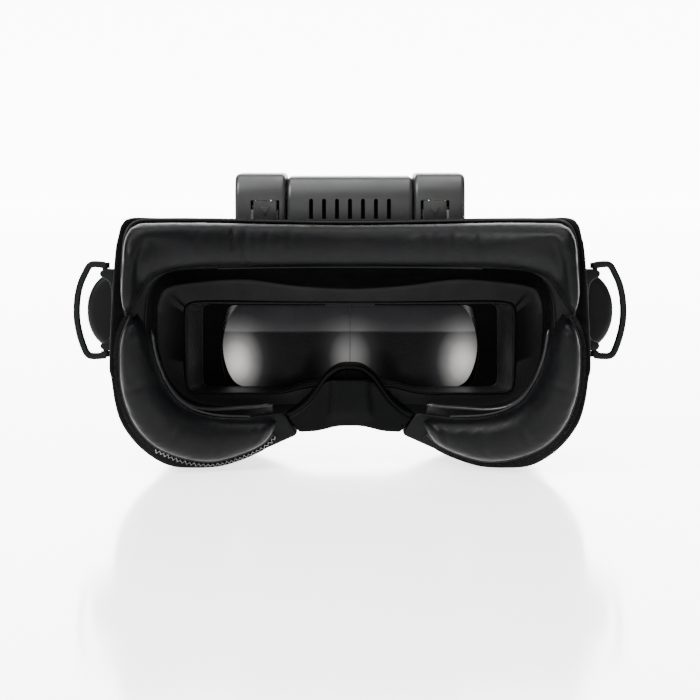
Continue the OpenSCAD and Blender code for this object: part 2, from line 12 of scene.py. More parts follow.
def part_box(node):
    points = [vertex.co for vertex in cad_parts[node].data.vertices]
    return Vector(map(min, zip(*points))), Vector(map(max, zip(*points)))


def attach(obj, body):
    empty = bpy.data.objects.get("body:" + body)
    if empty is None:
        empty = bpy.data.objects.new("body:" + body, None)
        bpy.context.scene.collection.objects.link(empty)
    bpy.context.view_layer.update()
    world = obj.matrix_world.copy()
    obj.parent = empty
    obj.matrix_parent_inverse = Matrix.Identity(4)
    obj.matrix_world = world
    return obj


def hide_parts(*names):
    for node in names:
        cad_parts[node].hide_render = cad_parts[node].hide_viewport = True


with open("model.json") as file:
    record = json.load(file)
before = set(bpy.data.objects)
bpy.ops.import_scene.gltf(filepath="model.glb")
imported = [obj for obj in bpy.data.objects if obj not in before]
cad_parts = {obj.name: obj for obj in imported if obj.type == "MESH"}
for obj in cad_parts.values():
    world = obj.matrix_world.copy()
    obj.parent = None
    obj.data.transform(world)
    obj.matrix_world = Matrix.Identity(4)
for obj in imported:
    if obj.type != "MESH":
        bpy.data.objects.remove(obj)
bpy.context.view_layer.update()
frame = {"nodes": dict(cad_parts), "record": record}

MM = 0.001
ROOT = "goggles"

# The design's own sizes, in millimetres
WRAP_R = 160.0
PLATE_T = 3.0
PLATE_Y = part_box("faceplate")[1].y / MM - PLATE_T
WRAP_Y = PLATE_Y - WRAP_R
SHROUD_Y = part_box("eye_shroud")[1].y / MM
LENS_FRAME_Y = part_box("lens_frame")[0].y / MM
SPLIT_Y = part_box("upper_shell")[1].y / MM
FRONT_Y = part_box("front_cover")[1].y / MM
CASE_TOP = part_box("upper_shell")[1].z / MM
POD_Y = [corner.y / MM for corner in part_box("side_pod_right")]
MODULE_Y = [corner.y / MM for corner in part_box("module_cover")]
LID_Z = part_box("module_cover")[0].z / MM


# Curves


def curve_through(points, per=12, closed=False):
    """A smooth curve through points, with per samples between neighbours."""
    p = np.array(points, float)
    if closed:
        p = np.vstack([p[-1:], p, p[:2]])
    else:
        p = np.vstack([2 * p[0] - p[1], p, 2 * p[-1] - p[-2]])
    t = np.linspace(0, 1, per, endpoint=False)[:, None]
    out = []
    for a, b, c, d in zip(p, p[1:], p[2:], p[3:]):
        out.append(
            0.5 * (2 * b + (c - a) * t + (2 * a - 5 * b + 4 * c - d) * t**2 + (3 * b - a - 3 * c + d) * t**3)
        )
    out = np.vstack(out)
    return out if closed else np.vstack([out, p[-2]])


def side_name(side):
    return "right" if side > 0 else "left"


def flipped(line, side=-1):
    """A line drawn on the right, put on the given side: 1 is right and -1 is left."""
    return [(side * x, z) for x, z in line]


def across(half):
    """A half line that starts on the middle, carried over from the left side to the right."""
    return flipped(half[:0:-1]) + half


def mirrored(half):
    """A half outline from the top to the bottom, and its mirror image back up."""
    return half + [(-x, z) for x, z in reversed(half) if abs(x) > 1e-6]


def even(points, step, closed=True):
    """The same line with its points about step apart."""
    p = np.array(points, float)
    if closed:
        p = np.vstack([p, p[:1]])
    along = np.concatenate([[0], np.cumsum(np.linalg.norm(np.diff(p, axis=0), axis=1))])
    n = max(int(round(along[-1] / step)), 8)
    at = np.linspace(0, along[-1], n, endpoint=not closed)
    return np.stack([np.interp(at, along, p[:, k]) for k in range(p.shape[1])], 1)


def tangents(p):
    """Unit tangents of an open line of points."""
    t = np.gradient(p, axis=0)
    return t / np.linalg.norm(t, axis=1)[:, None]


def turn(steps):
    """The angles of one full turn."""
    return np.linspace(0, 2 * math.pi, steps, endpoint=False)


def rounded(points, radius, steps=6):
    """A closed polygon with its corners rounded."""
    p = [np.array(q, float) for q in points]
    out = []
    for i, corner in enumerate(p):
        before, after = p[i - 1], p[(i + 1) % len(p)]
        a, b = before - corner, after - corner
        reach = min(radius, np.linalg.norm(a) * 0.45, np.linalg.norm(b) * 0.45)
        start, end = corner + a / np.linalg.norm(a) * reach, corner + b / np.linalg.norm(b) * reach
        for t in np.linspace(0, 1, steps):
            out.append((1 - t) ** 2 * start + 2 * t * (1 - t) * corner + t**2 * end)
    return np.array(out)


def inset(loop, distance):
    """A closed line moved inwards by a distance."""
    p = np.array(loop, float)
    ahead, behind = np.roll(p, -1, 0), np.roll(p, 1, 0)
    tangent = ahead - behind
    tangent /= np.linalg.norm(tangent, axis=1)[:, None] + 1e-9
    normal = np.stack([-tangent[:, 1], tangent[:, 0]], 1)
    area = 0.5 * np.sum(p[:, 0] * ahead[:, 1] - ahead[:, 0] * p[:, 1])
    return p + normal * distance * (1 if area > 0 else -1)


def wrap_y(x, depth):
    """The Y of a point that stands depth off the faceplate's face, towards the wearer."""
    return WRAP_Y + np.sqrt((WRAP_R - depth) ** 2 - np.asarray(x, float) ** 2)


def on_plate(line, depth):
    """A line in X and Z as points in space that stand depth off the faceplate's face."""
    return [(x, float(wrap_y(x, depth)), z) for x, z in line]


def depth_of(x, y):
    """How far a point stands off the faceplate's face."""
    return WRAP_R - math.hypot(x, y - WRAP_Y)


# Meshes


def piece(name, verts, faces, sharp=35):
    """A new object from points in millimetres."""
    mesh = bpy.data.meshes.new(name)
    mesh.from_pydata([tuple(float(c) * MM for c in v) for v in verts], [], [tuple(f) for f in faces])
    obj = bpy.data.objects.new(name, mesh)
    bpy.context.scene.collection.objects.link(obj)
    tidy(obj, sharp)
    return obj


def tidy(obj, sharp=35):
    """Welds doubled points, turns the faces outwards and shades them smooth but for sharp edges."""
    bm = bmesh.new()
    bm.from_mesh(obj.data)
    bmesh.ops.remove_doubles(bm, verts=bm.verts, dist=1e-6)
    bmesh.ops.dissolve_degenerate(bm, dist=1e-7, edges=bm.edges)
    bmesh.ops.recalc_face_normals(bm, faces=bm.faces)
    for f in bm.faces:
        f.smooth = True
    bm.to_mesh(obj.data)
    bm.free()
    obj.data.set_sharp_from_angle(angle=math.radians(sharp))


def grid_faces(rows, cols, close_rows=False):
    """The faces between rows of points, where each row is closed on itself."""
    faces = []
    for i in range(rows if close_rows else rows - 1):
        for j in range(cols):
            here, there = i * cols, ((i + 1) % rows) * cols
            after = (j + 1) % cols
            faces.append((here + j, here + after, there + after, there + j))
    return faces


def tube_like(name, rings, sharp=35):
    """A closed solid skinned over rings of points, with its ends filled."""
    rings = np.array(rings, float)
    rows, cols = rings.shape[:2]
    faces = grid_faces(rows, cols)
    faces.append(tuple(range(cols))[::-1])
    faces.append(tuple((rows - 1) * cols + j for j in range(cols)))
    return piece(name, rings.reshape(-1, 3), faces, sharp)


def plate(name, loops, y0, y1, bevel, segments=3, sharp=35):
    """A plate in X and Z with rounded edges, and holes where loops lie inside the first."""
    curve = bpy.data.curves.new(name, "CURVE")
    curve.dimensions = "2D"
    curve.fill_mode = "BOTH"
    for loop in loops:
        spline = curve.splines.new("POLY")
        spline.points.add(len(loop) - 1)
        spline.use_cyclic_u = True
        for point, (x, z) in zip(spline.points, loop):
            point.co = (x * MM, z * MM, 0, 1)
    curve.extrude = ((y1 - y0) / 2 - bevel) * MM
    curve.bevel_depth = bevel * MM
    curve.bevel_resolution = segments
    curve.offset = -bevel * MM
    flat = bpy.data.objects.new(name + "_flat", curve)
    bpy.context.scene.collection.objects.link(flat)
    mesh = bpy.data.meshes.new_from_object(flat.evaluated_get(bpy.context.evaluated_depsgraph_get()))
    bpy.data.objects.remove(flat)
    mid = (y0 + y1) / 2 * MM
    for v in mesh.vertices:
        v.co = Vector((v.co.x, v.co.z + mid, v.co.y))
    obj = bpy.data.objects.new(name, mesh)
    mesh.materials.clear()
    bpy.context.scene.collection.objects.link(obj)
    tidy(obj, sharp)
    return obj


def sliced(obj, step, axis=0):
    """Cuts the faces of a mesh by planes across an axis, so that it can bend."""
    bm = bmesh.new()
    bm.from_mesh(obj.data)
    low = min(v.co[axis] for v in bm.verts)
    high = max(v.co[axis] for v in bm.verts)
    normal = Vector([1.0 if k == axis else 0.0 for k in range(3)])
    for at in np.arange(low + step * MM, high, step * MM):
        geom = bm.verts[:] + bm.edges[:] + bm.faces[:]
        bmesh.ops.bisect_plane(bm, geom=geom, plane_co=normal * at, plane_no=normal, dist=1e-7)
    bm.to_mesh(obj.data)
    bm.free()


def each_point(obj, move):
    """Moves every point by a function of its place in millimetres."""
    for v in obj.data.vertices:
        v.co = Vector(move(*(c / MM for c in v.co))) * MM
    obj.data.update()


def wrapped(obj, step, sharp=35):
    """Bends a plate that was drawn at Y = -depth so that it lies along the faceplate."""
    sliced(obj, step)
    each_point(obj, lambda x, y, z: (x, float(wrap_y(x, -y)), z))
    tidy(obj, sharp)
    return obj


def path_tube(name, path, radius, sides=8):
    """A round bar along a path, in millimetres."""
    p = np.array(path, float)
    tangent = tangents(p)
    up = Vector((0, 1, 0)) if abs(tangent[0][1]) < 0.9 else Vector((0, 0, 1))
    rings = []
    for q, t in zip(p, tangent):
        t = Vector(t)
        side = t.cross(up).normalized()
        up = side.cross(t).normalized()
        rings.append([Vector(q) + radius * (math.cos(a) * side + math.sin(a) * up) for a in turn(sides)])
    return tube_like(name, rings, 60)


def joined(name, parts):
    """Several objects as one mesh."""
    bm = bmesh.new()
    for part in parts:
        bm.from_mesh(part.data)
    mesh = bpy.data.meshes.new(name)
    bm.to_mesh(mesh)
    bm.free()
    for part in parts:
        bpy.data.objects.remove(part)
    obj = bpy.data.objects.new(name, mesh)
    bpy.context.scene.collection.objects.link(obj)
    return obj


def applied(obj):
    """Bakes an object's modifiers into its mesh."""
    depsgraph = bpy.context.evaluated_depsgraph_get()
    mesh = bpy.data.meshes.new_from_object(obj.evaluated_get(depsgraph))
    obj.modifiers.clear()
    obj.data = mesh
    return obj


def carved(obj, cutters, sharp=35):
    """Cuts solids out of an object, and removes them."""
    for cutter in cutters:
        mod = obj.modifiers.new("cut", "BOOLEAN")
        mod.operation = "DIFFERENCE"
        mod.solver = "EXACT"
        mod.object = cutter
    applied(obj)
    for cutter in cutters:
        bpy.data.objects.remove(cutter)
    tidy(obj, sharp)
    return obj


def rod(name, centre, axis, radius, length, sides=32):
    """A plain round cutter or bar from a centre along an axis, in millimetres."""
    axis = Vector(axis).normalized()
    side = axis.orthogonal().normalized()
    other = axis.cross(side)
    rings = []
    for d in (0, length):
        end = Vector(centre) + axis * d
        rings.append([end + radius * (math.cos(a) * side + math.sin(a) * other) for a in turn(sides)])
    return tube_like(name, rings)


def slab(name, low, high):
    """A box-shaped cutter."""
    x0, y0, z0 = low
    x1, y1, z1 = high
    rings = [[(x0, y, z0), (x1, y, z0), (x1, y, z1), (x0, y, z1)] for y in (y0, y1)]
    return tube_like(name, rings)


# Materials


class Nodes:
    """A material's node tree, with short calls for the nodes that the finishes share."""

    def __init__(self, name):
        self.material = bpy.data.materials.new(name)
        self.material.use_nodes = True
        self.tree = self.material.node_tree
        self.shader = next(n for n in self.tree.nodes if n.type == "BSDF_PRINCIPLED")
        self.place = self.tree.nodes.new("ShaderNodeTexCoord").outputs["Object"]

    def add(self, kind, **values):
        node = self.tree.nodes.new(kind)
        for key, value in values.items():
            key = key.replace("_", " ")
            target = next((s for s in node.inputs if s.name.lower() == key), None)
            if target is None:
                setattr(node, key.replace(" ", "_"), value)
            elif isinstance(value, bpy.types.NodeSocket):
                self.tree.links.new(value, target)
            else:
                target.default_value = value
        return node

    def stretched(self, scale):
        return self.add("ShaderNodeMapping", vector=self.place, scale=scale).outputs[0]

    def noise(self, per_mm, detail=4.0, roughness=0.55, vector=None):
        node = self.add("ShaderNodeTexNoise", scale=per_mm / MM, detail=detail, roughness=roughness)
        self.tree.links.new(vector or self.place, node.inputs["Vector"])
        return node.outputs[0]

    def cells(self, per_mm, feature, vector=None):
        node = self.add("ShaderNodeTexVoronoi", scale=per_mm / MM)
        node.feature = feature
        self.tree.links.new(vector or self.place, node.inputs["Vector"])
        return node.outputs["Distance"]

    def span(self, value, low, high, new_low, new_high):
        node = self.add("ShaderNodeMapRange")
        self.tree.links.new(value, node.inputs["Value"])
        for name, number in zip(("From Min", "From Max", "To Min", "To Max"), (low, high, new_low, new_high)):
            node.inputs[name].default_value = number
        return node.outputs[0]

    def patchy(self, per_mm, detail, low, high):
        """A value that drifts between low and high in soft patches."""
        return self.span(self.noise(per_mm, detail), 0.3, 0.7, low, high)

    def mottled(self, per_mm, detail, colour, darker, paler, until=0.7):
        """A colour that drifts between a darker and a paler shade of itself."""
        cloud = self.noise(per_mm, detail)
        return self.ramp(cloud, (0.3, shade(colour, darker)), (until, shade(colour, paler)))

    def maths(self, operation, a, b):
        node = self.add("ShaderNodeMath")
        node.operation = operation
        for socket, value in zip(node.inputs, (a, b)):
            if isinstance(value, bpy.types.NodeSocket):
                self.tree.links.new(value, socket)
            else:
                socket.default_value = value
        return node.outputs[0]

    def mixed(self, factor, first, second):
        """A colour that goes from a socket's to a fixed one."""
        node = self.add("ShaderNodeMix")
        node.data_type = "RGBA"
        self.tree.links.new(factor, node.inputs["Factor"])
        self.tree.links.new(first, node.inputs[6])
        node.inputs[7].default_value = (*second, 1)
        return node.outputs[2]

    def ramp(self, value, *stops):
        node = self.add("ShaderNodeValToRGB")
        self.tree.links.new(value, node.inputs[0])
        ramp = node.color_ramp
        while len(ramp.elements) < len(stops):
            ramp.elements.new(0.5)
        for element, (at, colour) in zip(ramp.elements, stops):
            element.position = at
            element.color = (*colour, 1)
        return node.outputs[0]

    def bump(self, *layers):
        """Each layer is (height, strength, distance in mm)."""
        normal = None
        for height, strength, distance in layers:
            node = self.add("ShaderNodeBump", strength=strength, distance=distance * MM)
            self.tree.links.new(height, node.inputs["Height"])
            if normal:
                self.tree.links.new(normal, node.inputs["Normal"])
            normal = node.outputs[0]
        self.tree.links.new(normal, self.shader.inputs["Normal"])

    def set(self, **values):
        for key, value in values.items():
            socket = self.shader.inputs[key.replace("_", " ").title().replace("Ior", "IOR")]
            if isinstance(value, bpy.types.NodeSocket):
                self.tree.links.new(value, socket)
            else:
                socket.default_value = value
        return self


def shade(colour, factor):
    return tuple(min(c * factor, 1.0) for c in colour)


def moulded(name, colour, gloss, grain, wear=0.0, shine=0.25, fade=None):
    """Moulded plastic or rubber: a fine spark-eroded grain, gloss that drifts, and paler worn edges.

    fade is (low, high, factor), in millimetres: a painted shade, so that above the height high, the colour is
    times the factor.
    """
    n = Nodes(name)
    base = n.mottled(0.05, 3, colour, 0.82, 1.18)
    if wear:
        edge = n.add("ShaderNodeNewGeometry").outputs["Pointiness"]
        scuffed = n.maths("MULTIPLY", n.span(edge, 0.52, 0.6, 0, wear), n.span(n.noise(0.4), 0.4, 0.65, 0, 1))
        base = n.mixed(scuffed, base, shade(colour, 3.5))
    # Painted shade: above the height high, the colour darkens towards black.
    if fade:
        low, high, factor = fade
        height = n.add("ShaderNodeSeparateXYZ", vector=n.place).outputs[2]
        base = n.mixed(n.span(height, low * MM, high * MM, 0, 1 - factor), base, (0, 0, 0))
    n.set(base_color=base, roughness=n.patchy(0.12, 5, gloss - 0.06, gloss + 0.08), specular_ior_level=shine)
    n.bump((n.noise(4.0, 2, 0.6), grain, 0.03), (n.noise(0.02, 1), 0.12, 0.5))
    return n.material


def leather(name, colour):
    """Soft faux leather: pebbled cells with fine creases between them, slightly glossy on the high parts."""
    n = Nodes(name)
    pebble = n.cells(1.5, "DISTANCE_TO_EDGE")
    fine = n.cells(3.6, "DISTANCE_TO_EDGE")
    crease = n.noise(0.35, 6, 0.7, n.stretched((3.0, 1.0, 0.6)))
    base = n.mottled(0.06, 4, colour, 0.8, 1.25, 0.75)
    n.set(base_color=base, roughness=n.patchy(0.25, 5, 0.36, 0.5), specular_ior_level=0.09)
    n.bump(
        (n.span(pebble, 0, 0.12, 0, 1), 0.22, 0.05),
        (n.span(fine, 0, 0.12, 0, 1), 0.12, 0.03),
        (crease, 0.18, 0.2),
    )
    return n.material


def hook_tape(name, colour):
    """Hook-and-loop tape: tight rows of tiny loops."""
    n = Nodes(name)
    rows = n.cells(1.1, "F1", n.stretched((1.0, 1.0, 1.4)))
    fuzz = n.noise(2.2, 6, 0.75)
    n.set(base_color=n.ramp(fuzz, (0.35, shade(colour, 0.45)), (0.7, shade(colour, 2.2))), roughness=0.9)
    n.set(sheen_weight=0.05, specular_ior_level=0.1)
    n.bump((rows, 0.9, 0.5), (fuzz, 0.7, 0.3))
    return n.material


def metal(name, colour, gloss=0.3):
    """Turned or drawn metal: fine lines along the piece, with a patchy gloss."""
    n = Nodes(name)
    lines = n.noise(6.0, 3, 0.6, n.stretched((1.0, 0.06, 1.0)))
    base = n.mottled(0.3, 4, colour, 0.8, 1.12)
    n.set(base_color=base, metallic=1.0, roughness=n.patchy(0.6, 4, gloss - 0.08, gloss + 0.12))
    n.bump((lines, 0.2, 0.02))
    return n.material


def circuit(name, colour):
    """A solder-masked board: darker tracks and a scatter of pads."""
    n = Nodes(name)
    tracks = n.cells(0.35, "DISTANCE_TO_EDGE")
    base = n.ramp(tracks, (0.02, shade(colour, 1.9)), (0.07, colour), (0.5, shade(colour, 0.8)))
    n.set(base_color=base, roughness=n.patchy(0.5, 4.0, 0.3, 0.45))
    n.bump((n.span(tracks, 0.02, 0.07, 1, 0), 0.3, 0.05))
    return n.material


def polished(name, colour, gloss, coat, shine=0.5):
    """A polished panel with faint wiping marks."""
    n = Nodes(name)
    marks = n.noise(0.5, 6, 0.7, n.stretched((0.3, 1.0, 2.0)))
    base = n.mottled(0.03, 2, colour, 0.8, 1.3)
    n.set(base_color=base, roughness=n.span(marks, 0.35, 0.75, gloss, gloss + 0.08))
    n.set(specular_ior_level=shine, coat_weight=coat, coat_roughness=0.04)
    n.bump((n.noise(0.04, 2), 0.05, 0.3))
    return n.material


def film(name, colour, gloss=0.35):
    """A thin printed or wrapped film with a faint wrinkle."""
    n = Nodes(name)
    base = n.mottled(0.15, 4, colour, 0.85, 1.15)
    n.set(base_color=base, roughness=n.patchy(0.4, 4, gloss - 0.05, gloss + 0.1))
    n.bump((n.noise(0.25, 5), 0.2, 0.2))
    return n.material


def lens_glass(name):
    """Dark coated glass. The light at the outer ends, by the seam and along the top is painted on as a glow.

    It stands in for the reflections in the photo, and follows only the place on the lens.
    """
    n = Nodes(name)
    parts = n.add("ShaderNodeSeparateXYZ", vector=n.place)
    x = n.maths("DIVIDE", parts.outputs[0], MM)
    z = n.maths("DIVIDE", parts.outputs[2], MM)
    off_middle = n.maths("ABSOLUTE", x, 0)

    def squared(value, centre, reach):
        ratio = n.maths("DIVIDE", n.maths("SUBTRACT", value, centre), reach)
        return n.maths("MULTIPLY", ratio, ratio)

    def glow(cx, cz, rx, rz):
        away = n.maths("ADD", squared(off_middle, cx, rx), squared(z, cz, rz))
        return n.maths("POWER", 2.718, n.maths("MULTIPLY", -1.0, away))

    ends = n.maths("MULTIPLY", glow(43.2, 35.6, 7.4, 10.0), 0.9)
    seam = n.maths("MULTIPLY", glow(0.0, 37.0, 7.5, 10.0), 0.4)
    band = n.maths("MULTIPLY", n.span(z, 46.6, 47.4, 0.0, 0.15), n.span(z, 47.0, 57.5, 1.0, 0.45))
    light = n.maths("ADD", n.maths("ADD", ends, seam), band)
    dark, dim = (0.0, (0.0, 0.0, 0.0)), (0.12, (0.022, 0.022, 0.023))
    soft, bright = (0.45, (0.24, 0.235, 0.23)), (0.9, (0.8, 0.78, 0.76))
    n.set(base_color=(0.006, 0.006, 0.007, 1), roughness=n.patchy(0.2, 3, 0.22, 0.3), specular_ior_level=0.03)
    warm = n.ramp(light, dark, dim, soft, bright)
    n.set(emission_color=warm, emission_strength=n.patchy(0.08, 3, 0.85, 1.15))
    n.bump((n.noise(0.03, 1), 0.03, 0.3))
    return n.material


SHELL = moulded("shell_black", (0.0045, 0.0046, 0.005), 0.42, 0.28, wear=0.3, shine=0.55)
CASING = moulded("case_black", (0.003, 0.0031, 0.0033), 0.5, 0.3, wear=0.25, shine=0.16)
MATT = moulded("matt_black", (0.002, 0.0021, 0.0023), 0.5, 0.3, shine=0.09)
NOSE_BLACK = moulded("nose_black", (0.0009, 0.001, 0.001), 0.5, 0.2, shine=0.045)
# The inner black is painted darker above 58 mm high: a painted shade over the upper panels of the bowl.
INNER = moulded("inner_black", (0.0034, 0.0035, 0.0037), 0.42, 0.12, shine=0.1, fade=(58.0, 66.0, 0.15))
# The tunnel's black is paler than the bowl's: painted light on the tunnel walls.
TUNNEL_PAINTED_LIGHT = moulded("tunnel_painted_light", (0.012, 0.0122, 0.0128), 0.42, 0.12, shine=0.25)
RIB = moulded("rib_black", (0.005, 0.005, 0.0055), 0.38, 0.1, shine=0.32)
RUBBER = moulded("rubber_black", (0.009, 0.009, 0.0095), 0.58, 0.3)
KEYS = moulded("button_black", (0.03, 0.03, 0.032), 0.38, 0.15, wear=0.3)
LEATHER = leather("pad_leather", (0.0017, 0.0018, 0.0021))
TAPE = hook_tape("hook_fabric", (0.0045, 0.0045, 0.0045))
THREAD = film("stitch_thread", (0.28, 0.27, 0.26), 0.7)
GLASS = lens_glass("lens_clear")
VISOR_GLOSS = polished("visor_gloss", (0.003, 0.003, 0.0035), 0.1, 0.08, 0.12)
STEEL = metal("steel", (0.55, 0.55, 0.57))
BRASS = metal("brass_gold", (0.78, 0.58, 0.24), 0.24)
BOARD = circuit("board_green", (0.015, 0.12, 0.05))
SCREEN = polished("screen_dark", (0.012, 0.012, 0.016), 0.12, 0.2)
WHITE = film("diffuser_white", (0.8, 0.8, 0.77), 0.45)
AMBER = film("ribbon_amber", (0.5, 0.25, 0.05), 0.3)
# The piping's dark grey is partly the cord's own colour and partly a painted highlight along the pad edges.
PIPING_AND_PAINTED_HIGHLIGHT = leather("piping", (0.012, 0.012, 0.013))
VELVET = moulded("anti_glare_black", (0.002, 0.002, 0.002), 0.85, 0.1, shine=0.05)
WRAP = film("battery_blue", (0.03, 0.08, 0.28), 0.28)

BY_SLOT = {
    "shell_black": SHELL,
    "inner_black": INNER,
    "pad_leather": LEATHER,
    "hook_fabric": TAPE,
    "lens_clear": GLASS,
    "rubber_black": RUBBER,
    "visor_gloss": VISOR_GLOSS,
    "button_black": KEYS,
    "screen_dark": SCREEN,
    "diffuser_white": WHITE,
    "ribbon_amber": AMBER,
    "board_green": BOARD,
    "battery_blue": WRAP,
    "steel": STEEL,
    "brass_gold": BRASS,
}


def place(obj, slot, body=ROOT, nodes=(), material=None):
    """Gives a piece its finish and its body, and hides the CAD nodes that it stands for."""
    obj.data.materials.clear()
    obj.data.materials.append(material or BY_SLOT[slot])
    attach(obj, body)
    if nodes:
        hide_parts(*nodes)
    return obj


# Soft parts: the pads, their hook tape and stitching

PAD_CROWN = 14.0
PAD_BACK = 1.3
PAD_SIDES = 30
PAD_SQUARENESS = 2.6
PAD_TAPER = 0.16
PUFF_LIMIT = 0.7
CLOTH_FRAMES = 20
COVER_CLOTH = {
    "quality": 6,
    "mass": 0.25,
    "tension_stiffness": 12,
    "compression_stiffness": 12,
    "shear_stiffness": 4,
    "bending_stiffness": 0.6,
    "use_pressure": True,
    "uniform_pressure_force": 4,
}

BROW_OUT = [
    (0, 89.6), (25, 90.0), (50, 90.7), (69, 91.0), (76.8, 90.5), (80.3, 86), (81.4, 75), (81.6, 65),
    (80.3, 57.0),
]
BROW_IN = [
    (0, 73.4), (25, 73.4), (48, 73.3), (60, 72.7), (66.4, 71.4), (71.4, 69.0), (74.2, 64.6),
    (76.9, 60.4), (79.2, 57.0),
]
CHEEK_OUT = [
    (79.0, 56.7), (82.1, 48.2), (82.4, 36), (81.0, 26.4), (77.2, 16.8), (70.1, 8.9), (60, 4.1),
    (50, 2.6), (41, 4.6), (33, 8.0), (28.4, 11.8),
]
CHEEK_IN = [
    (75.4, 58.3), (71.6, 49.5), (69.3, 41), (66.3, 33.2), (62.4, 27.0), (57.0, 22.8), (51, 20.6),
    (45, 19.6), (36.5, 19.1), (30, 18.9), (25.8, 18.4),
]


def pad_rings(outer, inner, round_end):
    """Rings of points round a pad that runs between two lines, with rounded ends."""
    outer, inner = curve_through(outer), curve_through(inner)
    middle = (outer + inner) / 2
    along = np.concatenate([[0], np.cumsum(np.linalg.norm(np.diff(middle, axis=0), axis=1))])

    def boxy(wave):
        return 0.5 * math.copysign(abs(wave) ** (2 / PAD_SQUARENESS), wave)

    rings = []
    for o, i, s in zip(outer, inner, along):
        end = min(s, along[-1] - s, round_end) / round_end
        full = math.sqrt(max(1 - (1 - end) ** 2, 0.02))
        ring = []
        for a in turn(PAD_SIDES):
            rise = (0.5 + boxy(math.sin(a))) * full
            sideways = boxy(math.cos(a)) * (0.35 + 0.65 * full)
            x, z = o + (i - o) * (0.5 + sideways * (1 - PAD_TAPER * rise))
            ring.append((x, float(wrap_y(x, PAD_BACK + (PAD_CROWN - PAD_BACK) * rise)), z))
        rings.append(ring)
    return rings


def puffed(obj):
    """Inflates a closed cover over its foam, held where it meets the tape, and keeps the movement small."""
    remesh = obj.modifiers.new("even", "REMESH")
    remesh.mode = "VOXEL"
    remesh.voxel_size = 1.7 * MM
    applied(obj)
    rest = [v.co.copy() for v in obj.data.vertices]
    held = obj.vertex_groups.new(name="held")
    for v in obj.data.vertices:
        deep = depth_of(v.co.x / MM, v.co.y / MM)
        held.add([v.index], max(0.0, min(1.0, (4.5 - deep) / 2.5)), "REPLACE")
    cloth = obj.modifiers.new("cover", "CLOTH")
    for key, value in COVER_CLOTH.items():
        setattr(cloth.settings, key, value)
    cloth.settings.effector_weights.gravity = 0
    cloth.settings.vertex_group_mass = "held"
    cloth.point_cache.frame_start = 1
    cloth.point_cache.frame_end = CLOTH_FRAMES
    for frame_number in range(1, CLOTH_FRAMES + 1):
        bpy.context.scene.frame_set(frame_number)
    applied(obj)
    bpy.context.scene.frame_set(1)
    for v, start in zip(obj.data.vertices, rest):
        moved = v.co - start
        if moved.length > PUFF_LIMIT * MM:
            moved *= PUFF_LIMIT * MM / moved.length
        v.co = start + moved
    smooth = obj.modifiers.new("smooth", "SUBSURF")
    smooth.levels = smooth.render_levels = 1
    applied(obj)
    tidy(obj, 60)
    return obj


def nearest(x, z, line):
    """Distance from a point to a line of points, and how far along the line it is, from 0 to 1."""
    best, at, run = 1e9, 0.0, 0.0
    for (ax, az), (bx, bz) in zip(line, line[1:]):
        dx, dz = bx - ax, bz - az
        length = math.hypot(dx, dz)
        t = max(0.0, min(1.0, ((x - ax) * dx + (z - az) * dz) / (length * length)))
        d = math.hypot(x - ax - t * dx, z - az - t * dz)
        if d < best:
            best, at = d, run + t * length
        run += length
    return best, at / run


def creased(obj, lines):
    """Presses creases into a pad's crown, or raises ridges where the depth is negative.

    Each line is (points, depth, width) in millimetres.
    """
    for v in obj.data.vertices:
        x, y, z = (c / MM for c in v.co)
        weight = max(0.0, min(1.0, (depth_of(x, y) - 3.0) / 5.0))
        if weight == 0:
            continue
        sink = 0.35 * noise.noise(Vector((x / 11, y / 11, z / 11)))
        for points, depth, width in lines:
            d, t = nearest(x, z, points)
            if d < width * 4:
                fade = math.sin(math.pi * min(max(t, 0.04), 0.96)) ** 0.5
                dip = math.exp(-((d / width) ** 2)) - 0.35 * math.exp(-((d / (2.4 * width)) ** 2))
                sink += depth * fade * dip
        toward = Vector((x, y - WRAP_Y, 0)).normalized()
        v.co += toward * sink * weight * MM
    obj.data.update()


def piping(name, line, depth, radius, finish):
    """A cord sewn along an edge of a pad."""
    place(path_tube(name, on_plate(line, depth), radius), "pad_leather", material=finish)


def make_brow_pad():
    """The brow pad: one long cushion over the top and down both sides to its tips."""
    outer, inner = across(BROW_OUT), across(BROW_IN)
    pad = puffed(tube_like("brow_cushion", pad_rings(outer, inner, 5.0)))
    lines = [
        ([(72.0, 84.0), (74.3, 77), (75.6, 68)], 1.3, 1.9),
        ([(-72.0, 84.0), (-74.3, 77), (-75.6, 68)], 1.5, 1.9),
        ([(63, 86.8), (70, 87.2), (76, 85.8)], -0.8, 3.0),
        ([(-63, 86.8), (-70, 87.2), (-76, 85.8)], -1.0, 3.0),
        ([(78.8, 80), (79.4, 70), (79, 62)], -0.3, 2.4),
        ([(-78.8, 80), (-79.4, 70), (-79, 62)], -0.3, 2.4),
        ([(-42.0, 89.4), (-42.3, 81.0)], 0.75, 0.8),
        ([(-37.6, 87.5), (-38.1, 78), (-37.5, 74.0)], 0.7, 0.9),
        ([(-29.6, 88), (-30.6, 79.5)], 0.35, 1.1),
        ([(-21.7, 87.5), (-22.6, 80.5)], 0.28, 1.2),
        ([(-54, 88), (-54.6, 80)], 0.2, 1.4),
        ([(37.6, 88), (38.2, 76)], 0.45, 1.0),
        ([(46.6, 88.5), (46.9, 79.5)], 0.35, 1.1),
        ([(27.5, 88), (27.8, 81)], 0.22, 1.3),
        ([(-72, 62.5), (-79, 60.5)], 0.5, 0.9),
        ([(72, 62.5), (79, 60.5)], 0.5, 0.9),
        ([(-73, 70.5), (-66, 73.2)], 0.35, 1.0),
        ([(73, 70.5), (66, 73.2)], 0.35, 1.0),
    ]
    creased(pad, lines)
    place(pad, "pad_leather", nodes=["brow_pad"])
    rim = [(x * 0.995, z + 0.5) for x, z in inner[6:-6]]
    piping("brow_lower_piping", curve_through(rim, 6), 10.2, 0.4, LEATHER)
    # The upper piping's paler grey is partly a painted highlight.
    piping("brow_upper_piping", curve_through(outer, 6) + (0, 0.15), 2.2, 0.5, PIPING_AND_PAINTED_HIGHLIGHT)


